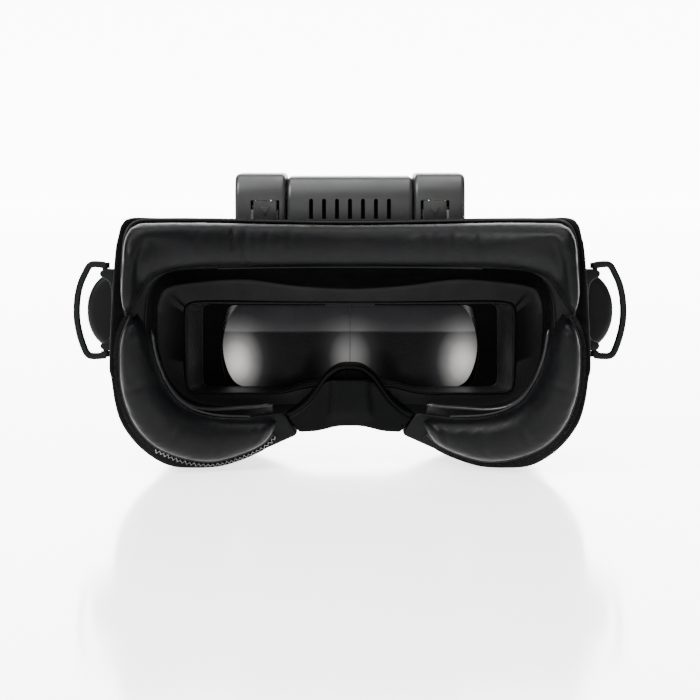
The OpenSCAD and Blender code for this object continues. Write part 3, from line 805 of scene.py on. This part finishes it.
def make_cheek_pad(side):
    """One cheek pad, from beside the nose, under the eye and up to the brow pad's tip."""
    name = side_name(side)
    outer, inner = flipped(CHEEK_OUT, side), flipped(CHEEK_IN, side)
    pad = puffed(tube_like("cheek_cushion_" + name, pad_rings(outer, inner, 4.0)))
    lines = [
        ([(77.2, 52.5), (76.6, 40), (71.5, 27.5), (64, 17)], -0.55, 3.0),
        ([(74.5, 53.5), (80, 50.5)], 0.6, 0.9),
        ([(73, 33), (80, 30.5)], 0.3, 1.2),
        ([(61, 18.5), (64.5, 9.5)], 0.35, 1.2),
        ([(47.5, 15.5), (48.6, 6)], 0.3, 1.4),
        ([(33.5, 15.8), (35.5, 9)], 0.55, 0.9),
        ([(29.0, 16.2), (31.5, 10.5)], 0.45, 0.8),
    ]
    creased(pad, [(flipped(line, side), depth, width) for line, depth, width in lines])
    place(pad, "pad_leather", nodes=["cheek_pad_" + name])
    # The paler piping on the cheek is partly a painted highlight, along both of its edges.
    piping("cheek_outer_piping_" + name, curve_through(outer, 6), 2.2, 0.5, PIPING_AND_PAINTED_HIGHLIGHT)
    lip = [(x, z + 0.45) for x, z in inner[3:-2]]
    piping("cheek_inner_piping_" + name, curve_through(lip, 6), 9.6, 0.4, PIPING_AND_PAINTED_HIGHLIGHT)


FACE_MIDDLE_Z = 45.0
TAPE_LOW = 0.12
TAPE_HIGH = 1.35
TAPE_TUFT = 0.28


def outward(points):
    """Unit normals of an open line round the face, pointing away from its middle."""
    tangent = tangents(points)
    normal = np.stack([tangent[:, 1], -tangent[:, 0]], 1)
    away = np.sum(normal * (points - np.array([0.0, FACE_MIDDLE_Z])))
    return normal if away > 0 else -normal


def tape_band(name, line, width, shift):
    """A band of hook tape along a line on the faceplate, with a rough, tufted surface."""
    p = even(curve_through(line, 10), 0.55, closed=False)
    count = max(int(width / 0.5), 4)
    rings = []
    for k, (q, n) in enumerate(zip(p, outward(p))):
        row = [q + n * (shift - width * j / count) for j in range(count + 1)]
        ring = []
        for j, (x, z) in enumerate(row):
            rough = 0.0 if j in (0, count) else TAPE_TUFT * noise.noise(Vector((k * 0.9, j * 1.7, width)))
            ring.append((x, float(wrap_y(x, TAPE_HIGH + rough)), z))
        rings.append(ring + on_plate(row[::-1], TAPE_LOW))
    return tube_like(name, rings, 50)


def make_tape():
    """The hook tape under the pads, a little wider than they are, and the stitching on it."""
    brow = tape_band("brow_tape", across(BROW_OUT[:8]), 6.0, 0.85)
    place(brow, "hook_fabric", nodes=["brow_hook_strip"])
    sides = [tape_band("cheek_side", flipped(CHEEK_OUT, side), 7.0, 2.3) for side in (1, -1)]
    place(joined("cheek_tape", sides), "hook_fabric", nodes=["cheek_hook_strips"])
    line = even(curve_through(flipped(CHEEK_OUT[5:]), 10), 0.8, closed=False)
    zigzag = []
    for k, (q, n) in enumerate(zip(line, outward(line))):
        zigzag.append(q + n * (1.5 + (0.5 if k % 2 else -0.5) + 0.14 * math.sin(k * 1.7)))
    place(path_tube("zigzag_stitch", on_plate(zigzag, 1.75), 0.15, 6), "hook_fabric", material=THREAD)


# Hard parts round the face


FACE = [
    (0, 90.2), (40, 91), (69, 91.8), (78.6, 92.0), (81.7, 90.0), (83.0, 86), (84.5, 76.5), (86.5, 42),
    (85.9, 34.5), (84.6, 25), (82.3, 17.5), (77.2, 9.8), (70.6, 3.9), (64.3, 0.9), (56, 0), (50, 0),
    (42.3, 1.6), (30.3, 6.6), (20.3, 10.9),
]
CAVITY = [
    (0, 73.4), (33, 73.2), (60, 72.8), (68.5, 70.6), (72.6, 65.5), (74, 58), (74, 50), (73, 38),
    (68.5, 27.5), (61, 21), (50, 18.5), (38, 18.2), (25, 19.5),
]
NOSE = [(0, 36.8), (4.5, 36.2), (8.8, 33.2), (12, 29), (15.2, 24.6), (19.5, 20.8), (24, 18.8)]


FACE_FOOT = (19.6, 12.0)
CAVITY_FOOT = (23.8, 18.4)
PLATE_SCREWS = [(40.0, 80.0), (56.0, 8.9)]


def make_faceplate():
    """The curved plate that the pads fasten to, an arch open at the nose."""
    top = curve_through(across(FACE), 8)
    hole = curve_through(across(CAVITY), 8)
    feet = [FACE_FOOT, CAVITY_FOOT]
    loop = np.vstack([top, feet, hole[::-1], flipped(feet[::-1])])
    arch = wrapped(plate("face_arch", [loop], 0.0, PLATE_T, 0.8, 3), 2.5, 50)
    holes = []
    for side in (-1, 1):
        for x, z in PLATE_SCREWS:
            seat = WRAP_Y + math.sqrt((WRAP_R + PLATE_T) ** 2 - x**2) - 1.6
            holes.append(rod("hole", (side * x, -90, z), (0, 1, 0), 1.4, 120, 24))
            holes.append(rod("head", (side * x, -90, z), (0, 1, 0), 2.6, 90 + seat, 28))
    carved(arch, holes, 50)
    place(arch, "shell_black", nodes=["faceplate"], material=MATT)


def full_loop(half):
    """A smooth closed loop from its right half, top to bottom."""
    return curve_through(across(half)[1:], 8, closed=True)


def loop_rings(outlines, rows):
    """Closed loops between matched half outlines. Each row is (place among the outlines, outward, y)."""
    loops = [full_loop(half) for half in outlines]
    rings = []
    for at, outward_by, y in rows:
        k = min(int(at), len(loops) - 2)
        loop = inset(loops[k] + (loops[k + 1] - loops[k]) * (at - k), -outward_by)
        rings.append(np.stack([loop[:, 0], np.full(len(loop), y), loop[:, 1]], 1))
    return rings


def ring_solid(name, rings, sharp=35):
    """A closed frame: rings of points joined all round, both ways."""
    rings = np.array(rings)
    rows, cols = rings.shape[:2]
    return piece(name, rings.reshape(-1, 3), grid_faces(rows, cols, True), sharp)


# Matched half outlines of the bowl: its mouth, the edge of its flat back, and the lens window
MOUTH = [
    (0, 73.3), (30, 73.2), (56, 72.9), (65.5, 72.0), (70.5, 69.0), (73.2, 63.0), (74, 52), (73, 38),
    (68.5, 27.5), (61, 21), (50, 18.5), (38, 18.2), (25, 19.4), (12, 19.6), (0, 19.7),
]
TRAY = [
    (0, 64.2), (19, 65.3), (38, 67.9), (56, 67.0), (67.5, 65.2), (71.4, 60.6), (72.6, 51.5),
    (71.4, 38.4), (67.2, 28.8), (60.0, 22.4), (50, 20.0), (38, 19.8), (25, 20.6), (12, 20.8), (0, 20.9),
]
WINDOW = [
    (0, 58.7), (28, 58.7), (50, 58.7), (58, 58.5), (60.6, 57.0), (61, 53.5), (61, 46), (61, 36),
    (61, 29.5), (59.9, 26.2), (55, 25.4), (40, 25.4), (26.5, 25.4), (15, 28.2), (0, 28.8),
]


def nose_cutter(grow, y0, y1):
    """A cutter in the shape of the nose notch, grown by a distance."""
    half = [(x, z) for x, z in curve_through(NOSE, 6)] + [(19, 11.6), (13, 8)]
    loop = inset(even(mirrored(half), 1.0), -grow)
    rings = [[(x, y, z) for x, z in loop] for y in (y0, y1)]
    return tube_like("nose_cut", rings)


RIB_LINE = [
    (72.2, 51), (71.7, 46.5), (70.4, 40), (67.0, 31.2), (62.0, 24.8), (56.5, 21.8), (50, 20.8),
    (41.5, 21.0), (34, 21.4), (28.5, 22.2),
]


def face_cutter(half_width, front, gap):
    """A cutter that clears all there is in front of the faceplate's back, and a gap behind it."""
    outline = [(-half_width, -8), (half_width, -8), (half_width, 118), (-half_width, 118)]
    return wrapped(plate("face_cut", [outline], front, PLATE_T + gap, 0.1, 1), 2.5)


SHROUD_WALL = 1.6


def make_eye_shroud():
    """The bowl between the faceplate and the lens window."""
    back, floor = SHROUD_Y, SHROUD_Y - SHROUD_WALL
    rows = [
        (0.0, 0.0, -60.0),
        (0.0, 0.0, -11.0),
        (0.1, 0.0, -9.5),
        (0.86, 0.0, floor - 1.9),
        (0.95, 0.0, floor - 0.7),
        (1.04, 0.0, floor - 0.15),
        (1.2, 0.0, floor),
        (1.85, 0.0, floor),
        (1.9, 0.0, floor - 0.45),
        (1.94, 0.0, floor - 0.65),
        (1.98, 0.0, floor - 0.6),
        (2.0, 0.0, floor - 0.2),
        (2.0, 0.0, back - 0.2),
        (1.97, 0.0, back),
        (1.0, 0.0, back),
        (0.0, SHROUD_WALL - 0.8, back),
        (0.0, SHROUD_WALL, back - 0.8),
        (0.0, SHROUD_WALL, -60.0),
    ]
    bowl = ring_solid("eye_bowl", loop_rings([MOUTH, TRAY, WINDOW], rows), 40)
    carved(bowl, [face_cutter(79, -52, 0.15), nose_cutter(0.3, -61, back + 1)], 40)
    place(bowl, "inner_black", nodes=["eye_shroud"])


RIB_R = 1.0
RIB_DEPTH = -3.5


def make_rib(side):
    """The rolled rib that stands off the bowl's wall round one cheek, and runs out at both ends."""
    rim = full_loop(MOUTH)
    beads = curve_through(flipped(RIB_LINE, side), 8)
    rings = []
    for k, bead in enumerate(beads):
        out = rim[np.argmin(np.linalg.norm(rim - bead, axis=1))] - bead
        reach = np.linalg.norm(out) + 0.5
        out = out / np.linalg.norm(out)
        r = RIB_R * min(1.0, 0.35 + 0.25 * min(k, len(beads) - 1 - k))
        y = float(wrap_y(bead[0], RIB_DEPTH))
        x, z = bead + out * reach
        ring = [(x, y - 0.4 * r, z)]
        for a in np.radians(np.linspace(-140, 140, 11)):
            bead_x, bead_z = bead - out * r * math.cos(a)
            ring.append((bead_x, y + r * math.sin(a), bead_z))
        rings.append(ring + [(x, y + 0.4 * r, z)])
    place(tube_like("cheek_rib_" + side_name(side), rings, 50), "inner_black", material=RIB)


def make_light_baffle():
    """The tapered tunnel from the lens window to the lens frame, with a tab at its top."""
    y0, y1 = SHROUD_Y + 0.15, LENS_FRAME_Y - 0.15
    narrow = [(x * 0.915, 42.0 + (z - 42.0) * 0.955) for x, z in WINDOW]
    rows = [
        (0.0, 0.0, y0),
        (0.3, 0.0, y0 + 2.8),
        (0.6, 0.0, y0 + 5.8),
        (0.9, 0.0, y1 - 0.9),
        (0.93, -0.25, y1 - 0.6),
        (0.93, -0.25, y1),
        (0.0, 1.9, y1),
        (0.0, 1.9, y0),
    ]
    tunnel = ring_solid("light_tunnel", loop_rings([WINDOW, narrow], rows), 40)
    # The tunnel gets a paler black as painted light.
    place(tunnel, "inner_black", nodes=["light_baffle"], material=TUNNEL_PAINTED_LIGHT)
    outline = rounded([(-9.5, 57.4), (9.5, 57.4), (9.5, 58.9), (-9.5, 58.9)], 0.5)
    place(plate("tunnel_tab", [outline], y0 - 0.5, y0 + 1.9, 0.3, 2), "inner_black")


NOSE_DOME = [(0, 35.3), (3.8, 34.7), (7.3, 32.3), (9.6, 29.0)]
NOSE_BLOCK = [
    (7.4, 31.7), (9.4, 30.6), (11.4, 28.0), (14.4, 23.8), (18.6, 20.0), (23.2, 17.6), (18.6, 12.2),
    (12.5, 12.6), (9.0, 13.4), (6.0, 14.2), (3.0, 14.6),
]


def make_nose_bridge():
    """The hood over the nose, and the block under it with a soft upright ridge in its middle."""
    arch = curve_through(across(NOSE), 8)
    hood_loop = np.vstack([arch, arch[::-1] * (0.93, 1) - (0, 1.1)])
    hood = plate("nose_hood", [hood_loop], PLATE_Y - 1.2, SHROUD_Y, 0.45, 3, 45)
    dome = plate("nose_dome", [curve_through(across(NOSE_DOME), 8)], PLATE_Y + 3.5, PLATE_Y + 9, 0.5, 2, 45)
    block_loop = rounded(flipped(NOSE_BLOCK[::-1]) + NOSE_BLOCK, 0.9, 4)
    block = plate("nose_block", [block_loop], PLATE_Y - 2.2, PLATE_Y + 9.0, 0.9, 4, 60)
    sliced(block, 0.8, 0)
    sliced(block, 0.8, 2)

    def ridge(x, y, z):
        if y > PLATE_Y - 0.5:
            return x, y, z
        wide = 7.0 + max(0.0, 27 - z) * 0.12
        side = 1 / (1 + math.exp((abs(x) - wide) / 0.45))
        foot = 1 / (1 + math.exp((17.8 - z) / 0.9))
        fall = 0.0035 * max(abs(x) - 7, 0) ** 2
        return x, y - 1.5 * side * foot + fall, z

    each_point(block, ridge)
    tidy(block, 60)
    whole = joined("nose_hood_and_block", [hood, dome, block])
    place(whole, "shell_black", nodes=["nose_bridge"], material=NOSE_BLACK)


# Optics


LENS_MIDDLE = (24.5, 41.4)
LENS_R = 75
LENS_EDGE = [
    (0.1, 57.1), (20, 57.1), (37, 57.1), (42.5, 56.3), (45.6, 53.2), (47.8, 47.5), (48.6, 41.4),
    (47.8, 35.3), (45.6, 29.6), (42.5, 26.5), (37, 25.7), (20, 25.7), (0.1, 25.7),
]


def make_lens(side):
    """One half of the lens pair, bulging towards the eye, with rounded outer corners."""
    cx, cz = LENS_MIDDLE
    rim = even(curve_through(LENS_EDGE, 8), 1.0, closed=False)
    seam_x, top = LENS_EDGE[0]
    bottom = LENS_EDGE[-1][1]
    straight = np.stack([np.full(30, seam_x), np.linspace(bottom, top, 32)[1:-1]], 1)
    rim = np.vstack([rim, straight])
    front = LENS_FRAME_Y + 0.5

    def surface(x, z):
        return front + LENS_R - math.sqrt(LENS_R**2 - (x - cx) ** 2) + 0.0035 * (z - cz) ** 2

    def drawn_in(s):
        return [(cx + (x - cx) * s, cz + (z - cz) * s) for x, z in rim]

    rings = []
    for s in (0.04, 0.2, 0.4, 0.6, 0.75, 0.86, 0.93, 0.97):
        rings.append([(side * x, surface(x, z), z) for x, z in drawn_in(s)])
    rings.append([(side * u, surface(x, z) + 0.12, w) for (x, z), (u, w) in zip(rim, drawn_in(0.99))])
    rings.append([(side * x, surface(x, z) + 0.5, z) for x, z in rim])
    rings.append([(side * x, front + 5.6, z) for x, z in rim])
    rings.append([(side * x, front + 6.0, z) for x, z in drawn_in(0.98)])
    lens = tube_like("lens_glass_" + side_name(side), rings, 40)
    place(lens, "lens_clear", nodes=["lens_" + side_name(side)])


# The casing


CASE = [
    (0, CASE_TOP), (75.5, CASE_TOP), (79.5, 79.5), (79.5, 20), (76, 11.5), (68, 4.6), (60, 3), (45, 3),
    (34, 6.5), (22, 11.5), (14, 12.6), (0, 12.6),
]
CASE_HALF_WIDTH = 79.5
CASE_HALF_HEIGHT = 41.3
CASE_SEAM = 41.9
CASE_WALL = 2.2
GASKET = 1.0
COVER_R = 5.0
COVER_SCREWS = [(-67, 70), (-67, 22), (67, 70), (67, 22)]


def case_narrowing(y):
    """How much the casing has drawn in at its sides by a given Y."""
    return 0.0122 * max(y - 26.0, 0.0) ** 1.9


def case_ring(y, shrink=0.0, wall=0.0):
    """The casing's outline at one Y, drawn in at the sides and shrunk all round."""
    loop = even(rounded(across(CASE)[:-1], 5.0, 7), 1.6)
    kx = (CASE_HALF_WIDTH - case_narrowing(y) - shrink) / CASE_HALF_WIDTH
    kz = (CASE_HALF_HEIGHT - shrink) / CASE_HALF_HEIGHT
    middle = CASE_TOP - CASE_HALF_HEIGHT
    loop = np.stack([loop[:, 0] * kx, middle + (loop[:, 1] - middle) * kz], 1)
    loop = inset(loop, wall)
    return [(x, y, z) for x, z in loop]


def screw_wells(y0, y1):
    """Cutters for the wells that the cover's screws sit in."""
    return [rod("well", (x, y0, z), (0, 1, 0), 2.7, y1 - y0, 28) for x, z in COVER_SCREWS]


KEYS_X = (51, 59, 67, -67)


def shell_openings():
    """Cutters for the keys, the wheel and the sockets in the casing's wall."""
    top = CASE_TOP - 4
    cutters = [rod("key_hole", (x, 14, top), (0, 0, 1), 3.25, 10, 36) for x in KEYS_X]
    cutters.append(slab("wheel_slot", (-58.9, 8, top), (-53.1, 20, CASE_TOP + 5)))
    cutters.append(rod("av_hole", (70, 10, 36), (1, 0, 0), 3.1, 20, 36))
    cutters.append(rod("power_hole", (70, 20, 36), (1, 0, 0), 4.1, 20, 36))
    cutters.append(slab("video_hole", (70, 6.9, 23.4), (90, 23.1, 30.6)))
    return cutters


def make_shells():
    """The two halves of the casing behind the faceplate."""
    stops = [-60, 0, 20, 26, 30, 34, 37, SPLIT_Y - 0.35]
    upper = tube_like("case_outer", [case_ring(y) for y in stops] + [case_ring(SPLIT_Y, 0.35)], 40)
    depths = [-61] + stops[1:-1] + [SPLIT_Y + 2]
    inner = tube_like("case_inner", [case_ring(y, 0, CASE_WALL) for y in depths], 40)
    cutters = [inner, face_cutter(84, -48, 0.2), nose_cutter(0.4, -61, SHROUD_Y)]
    carved(upper, cutters + shell_openings(), 40)
    lower = upper.copy()
    lower.data = upper.data.copy()
    bpy.context.scene.collection.objects.link(lower)
    upper.name, lower.name = "case_upper", "case_lower"
    carved(upper, [slab("below", (-120, -90, -20), (120, 90, CASE_SEAM + 0.12))], 40)
    carved(lower, [slab("above", (-120, -90, CASE_SEAM - 0.12), (120, 90, 140))], 40)
    place(upper, "shell_black", nodes=["upper_shell"], material=CASING)
    place(lower, "shell_black", nodes=["lower_shell"], material=CASING)


VISOR = [(-60, 72), (60, 72), (62.5, 30), (52, 20.5), (-52, 20.5), (-62.5, 30)]


def make_cover():
    """The front cover with its rounded edge, and the glossy panel let into it."""
    start = SPLIT_Y + GASKET
    bend = FRONT_Y - COVER_R
    rings = [case_ring(start, 0.35)] + [case_ring(y) for y in (start + 0.35, 44, 46.5, bend)]
    for a in np.linspace(0, math.pi / 2, 8)[1:]:
        rings.append(case_ring(bend + COVER_R * math.sin(a), COVER_R * (1 - math.cos(a))))
    cover = tube_like("case_cover", rings, 40)
    hollow = [case_ring(y, 0, CASE_WALL) for y in (SPLIT_Y - 1, 46, bend)]
    hollow.append(case_ring(FRONT_Y - CASE_WALL, 4, CASE_WALL))
    edge = rounded(VISOR, 10, 10)
    grown = inset(even(edge, 1.0), -0.35)
    recess = plate("recess", [grown], FRONT_Y - 1.3, FRONT_Y + 3, 0.0)
    cutters = [tube_like("cover_inner", hollow, 40), recess]
    carved(cover, cutters + screw_wells(FRONT_Y - 7.5, FRONT_Y + 2), 40)
    place(cover, "shell_black", nodes=["front_cover"], material=CASING)
    panel = plate("visor_glass", [edge], FRONT_Y - 1.25, FRONT_Y - 0.15, 0.45, 4, 40)
    place(panel, "visor_gloss", nodes=["visor_panel"])


# The side pods and strap loops


POD = [
    (79.6, 71.0), (84, 71.5), (88.6, 71.0), (92.4, 69.0), (95.2, 65.6), (96.9, 61.2), (97.3, 57),
    (96.9, 52.6), (95.2, 48.2), (92.4, 44.8), (88.6, 42.8), (84, 42.3), (79.6, 42.5),
]
BRACKET = [
    (79.6, 73.2), (84, 73.4), (89.0, 73.4), (90.5, 72.4), (90.5, 71.0), (89.4, 70.3), (87.6, 69.4),
    (86.5, 67.2), (86.3, 63), (86.3, 54.2), (86.5, 50.0), (87.6, 47.8), (89.4, 46.9), (90.5, 46.2),
    (90.5, 44.8), (89.0, 43.8), (84, 43.8), (79.6, 44.0),
]
LOOP_LINE = [
    (88.7, 74.8), (91.0, 75.05), (93.4, 75.05), (94.6, 74.2), (95.9, 71.8), (97.4, 68.6), (98.5, 64.6),
    (99.0, 60.6), (99.1, 57.2), (98.9, 54.0), (98.0, 49.4), (96.6, 45.0), (95.4, 42.6), (94.0, 41.75),
    (91.4, 41.7), (88.7, 42.0),
]


PIN_X = 88.7
# Lower end, upper end and radius of the ring's two collars and two pins
LOOP_PINS = [(73.7, 75.7, 1.8), (41.5, 43.5, 1.8), (70.1, 74.0, 1.0), (43.2, 47.1, 1.0)]


def swept(name, line, width, y0, y1, radius):
    """A bar with rounded corners along a line in X and Z."""
    p = even(curve_through(line, 10), 0.5, closed=False)
    tangent = tangents(p)
    normal = np.stack([tangent[:, 1], -tangent[:, 0]], 1)
    section = rounded([(-width / 2, y0), (width / 2, y0), (width / 2, y1), (-width / 2, y1)], radius, 5)
    rings = [[(q[0] + n[0] * u, y, q[1] + n[1] * u) for u, y in section] for q, n in zip(p, normal)]
    return tube_like(name, rings, 45)


def make_side(side):
    """The pod on one side of the casing, and the bracket and ring that hold the head strap."""
    name = side_name(side)
    pod = plate("pod_" + name, [flipped(curve_through(POD, 6), side)], *POD_Y, 2.6, 5, 40)
    place(pod, "shell_black", nodes=["side_pod_" + name], material=MATT)
    low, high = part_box("strap_loop_" + name)
    px = side * PIN_X
    py = (low.y + high.y) / 2 / MM
    outline = flipped(rounded(BRACKET, 0.8, 4), side)
    bracket = plate("bracket_" + name, [outline], py - 2.1, py + 2.1, 0.6, 3, 40)
    carved(bracket, [rod("pin_hole", (px, py, 30), (0, 0, 1), 1.1, 60, 28)], 40)
    place(bracket, "shell_black", nodes=["loop_bracket_" + name], material=MATT)
    parts = [swept("bar", flipped(LOOP_LINE, side), 2.35, py - 1.5, py + 1.5, 0.8)]
    for z0, z1, r in LOOP_PINS:
        parts.append(rod("pin", (px, py, z0), (0, 0, 1), r, z1 - z0, 28))
    place(joined("strap_ring_" + name, parts), "shell_black", "loop_" + name, ["strap_loop_" + name], MATT)


# The receiver module on top


LID_WALL = 1.8
TAB_X = 31.75
TAB_TOP = 97.3
TAB_HALF = 4.35
TAB_SLOT = 1.0
TAB_CLEARANCE = 0.12
ARROW = [(-1.8, 94.9), (1.8, 94.9), (0, 91.6)]
SOCKET_X = 33.6
SOCKET_Z = LID_Z + 5.1
SOCKET_R = 4.0
VENTS = 7
VENT_PITCH = 4.85


def upright_slot(x, width, z0, z1, y0, y1):
    """A cutter for a slot with a round head."""
    r = width / 2
    head = [(x + r * math.cos(a), z1 - r + r * math.sin(a)) for a in np.linspace(0, math.pi, 12)]
    return plate("slot", [head + [(x - r, z0), (x + r, z0)]], y0, y1, 0.0)


def lid_profile(y0, y1, z0, z1, deep, tall):
    """The lid's side outline in Y and Z: a box with its two top corners broadly rounded."""
    steps = np.linspace(0, math.pi / 2, 10)
    front = [(y0 + deep - deep * math.cos(a), z1 - tall + tall * math.sin(a)) for a in steps]
    rear = [(y1 - deep + deep * math.sin(a), z1 - tall + tall * math.cos(a)) for a in steps]
    return [(y0, z0)] + front + rear + [(y1, z0)]


def lid_shell(name, x0, x1, top, cuts):
    """One of the lid's hollow blocks, with rounded edges and an open bottom."""
    y0, y1 = MODULE_Y
    w = LID_WALL
    body = plate(name, [lid_profile(y0, y1, LID_Z - 8, top, 6.5, 9.5)], x0, x1, 1.7, 5, 50)
    inside = lid_profile(y0 + w, y1 - w, LID_Z - 12, top - w, 4.7, 7.7)
    hollow = plate("hollow", [inside], x0 + w, x1 - w, 0.3, 2, 50)
    for part in (body, hollow):
        each_point(part, lambda x, y, z: (y, x, z))
        tidy(part, 50)
    base = slab("base", (x0 - 5, y0 - 5, LID_Z - 20), (x1 + 5, y1 + 5, LID_Z))
    return carved(body, [hollow, base] + cuts, 50)


def make_lid_middle():
    """The vented middle of the lid, with a dark sheet behind the vents as painted shade for the inside of the
    lid.
    """
    y0, y1 = MODULE_Y
    low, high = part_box("module_cover")
    vents = []
    for k in range(VENTS):
        x = (k - (VENTS - 1) // 2) * VENT_PITCH
        vents.append(upright_slot(x, 1.5, LID_Z + 1.6, LID_Z + 9.2, y0 - 1, y1 + 1))
    cover = lid_shell("lid_middle", low.x / MM, high.x / MM, high.z / MM, vents)
    place(cover, "shell_black", "module_lid", ["module_cover"])
    # A dark sheet behind the vents: painted shade for the inside of the lid.
    outline = [(-20, LID_Z + 0.8), (20, LID_Z + 0.8), (20, LID_Z + 12), (-20, LID_Z + 12)]
    screen = plate("vent_shade_sheet", [outline], y0 + 3.0, y0 + 3.4, 0.1, 1)
    place(screen, "inner_black", "module_lid", material=VELVET)


def make_lid_end(side):
    """One end cap of the lid, and the spring tongue in it."""
    y0, y1 = MODULE_Y
    name = side_name(side)
    low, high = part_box("module_cap_" + name)
    middle = side * TAB_X
    socket = side * SOCKET_X
    reach = TAB_HALF + TAB_SLOT
    roof = TAB_TOP + TAB_CLEARANCE
    cuts = [
        slab("mouth", (middle - reach, y0 - 1, LID_Z - 1), (middle + reach, y0 + LID_WALL + 0.1, roof)),
        rod("port", (socket, 30, SOCKET_Z), (0, 1, 0), SOCKET_R, 20, 40),
        slab("drop", (socket - SOCKET_R, 30, LID_Z - 1), (socket + SOCKET_R, 50, SOCKET_Z)),
    ]
    cap = lid_shell("lid_cap_" + name, low.x / MM, high.x / MM, high.z / MM, cuts)
    place(cap, "shell_black", "module_lid", ["module_cap_" + name])
    left, right = middle - TAB_HALF, middle + TAB_HALF
    outline = [(left, LID_Z + 0.2), (right, LID_Z + 0.2), (right, 99), (left, 99)]
    tongue = plate("tongue", [outline], y0, y0 + LID_WALL, 0.25, 2, 40)
    carved(tongue, [slab("top", (middle - 9, y0 - 3, TAB_TOP - 0.02), (middle + 9, y0 + 9, 110))], 40)
    arrow = plate("arrow", [[(middle + x, z) for x, z in ARROW]], y0 - 0.35, y0 + 0.4, 0.2, 2, 40)
    latch = joined("latch_tongue_" + name, [tongue, arrow])
    place(latch, "shell_black", "latch_" + name, ["latch_tab_" + name])


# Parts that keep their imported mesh


def softened_edges(obj):
    """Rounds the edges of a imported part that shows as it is."""
    flat = obj.modifiers.new("flats", "DECIMATE")
    flat.decimate_type = "DISSOLVE"
    flat.angle_limit = math.radians(2)
    edge = obj.modifiers.new("edges", "BEVEL")
    edge.width = 0.25 * MM
    edge.segments = 2
    edge.limit_method = "ANGLE"
    edge.angle_limit = math.radians(35)
    edge.use_clamp_overlap = True
    normals = obj.modifiers.new("normals", "WEIGHTED_NORMAL")
    normals.keep_sharp = False


def finish_cad():
    """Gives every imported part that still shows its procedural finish."""
    slots = {s["node"]: s["material_slot"] for s in frame["record"]["subparts"]}
    for node, obj in frame["nodes"].items():
        obj.data.materials.clear()
        obj.data.materials.append(VELVET if node == "lens_frame" else BY_SLOT[slots[node]])
        for face in obj.data.polygons:
            face.use_smooth = True
        if not obj.hide_render:
            softened_edges(obj)


# The studio


BACKDROP_GLOW = 9.0
FLOOR_GLOW = 2.2
AMBIENT = 0.12
WALL_Y = 3500
# Each light is (name, place in metres, size in metres, watts)
LIGHTS = [
    ("key", (-0.75, -0.65, 0.85), 0.35, 26.0),
    ("fill", (0.85, -0.5, 0.5), 0.4, 1.6),
    ("front", (0.0, -0.75, 1.05), 0.7, 7.0),
    ("low", (0.0, -1.3, 0.35), 0.5, 1.6),
    ("top", (0.0, 0.0, 1.2), 0.9, 17.0),
]


def glowing(name, strength):
    """A white surface that also gives light, for the backdrop and the floor."""
    n = Nodes(name)
    n.set(base_color=(0.9, 0.9, 0.9, 1), roughness=0.6)
    n.set(emission_color=(1, 1, 1, 1), emission_strength=strength)
    return n


def aimed(name, data, at, target):
    """Puts a light or a camera into the scene, turned towards a target, in metres."""
    obj = bpy.data.objects.new(name, data)
    obj.location = at
    obj.rotation_euler = (target - Vector(at)).to_track_quat("-Z", "Y").to_euler()
    bpy.context.scene.collection.objects.link(obj)
    return obj


def make_studio():
    """A white, slightly glossy floor, a bright backdrop, big soft lights and the camera."""
    corners = [(-6000, -30000, 0), (6000, -30000, 0), (6000, WALL_Y, 0), (-6000, WALL_Y, 0)]
    floor = piece("studio_floor", corners, [(0, 1, 2, 3)])
    n = glowing("studio_floor", FLOOR_GLOW)
    n.set(base_color=(0.93, 0.93, 0.93, 1), roughness=n.patchy(0.02, 3, 0.1, 0.14))
    floor.data.materials.append(n.material)
    corners = [(-2500, WALL_Y, 0), (2500, WALL_Y, 0), (2500, WALL_Y, 2600), (-2500, WALL_Y, 2600)]
    wall = piece("studio_backdrop", corners, [(0, 1, 2, 3)])
    wall.data.materials.append(glowing("studio_backdrop", BACKDROP_GLOW).material)
    world = bpy.data.worlds.new("studio")
    bpy.context.scene.world = world
    world.use_nodes = True
    background = world.node_tree.nodes["Background"]
    background.inputs[0].default_value = (1, 1, 1, 1)
    background.inputs[1].default_value = AMBIENT
    for name, at, size, watts in LIGHTS:
        data = bpy.data.lights.new(name, "AREA")
        data.energy = watts
        data.size = size
        aimed(name, data, at, Vector((0, 0, 0.04)))
    camera_data = bpy.data.cameras.new("camera")
    camera_data.sensor_width = 36
    camera_data.lens = 126.8
    target = Vector((0, -0.025, 0.0435))
    tilt = math.radians(5)
    at = target + 0.9 * Vector((0, -math.cos(tilt), math.sin(tilt)))
    bpy.context.scene.camera = aimed("camera", camera_data, at, target)


make_brow_pad()
for side in (1, -1):
    make_cheek_pad(side)
make_tape()
make_faceplate()
make_eye_shroud()
for side in (1, -1):
    make_rib(side)
make_light_baffle()
make_nose_bridge()
for side in (1, -1):
    make_lens(side)
make_shells()
make_cover()
for side in (1, -1):
    make_side(side)
make_lid_middle()
for side in (1, -1):
    make_lid_end(side)
finish_cad()
make_studio()
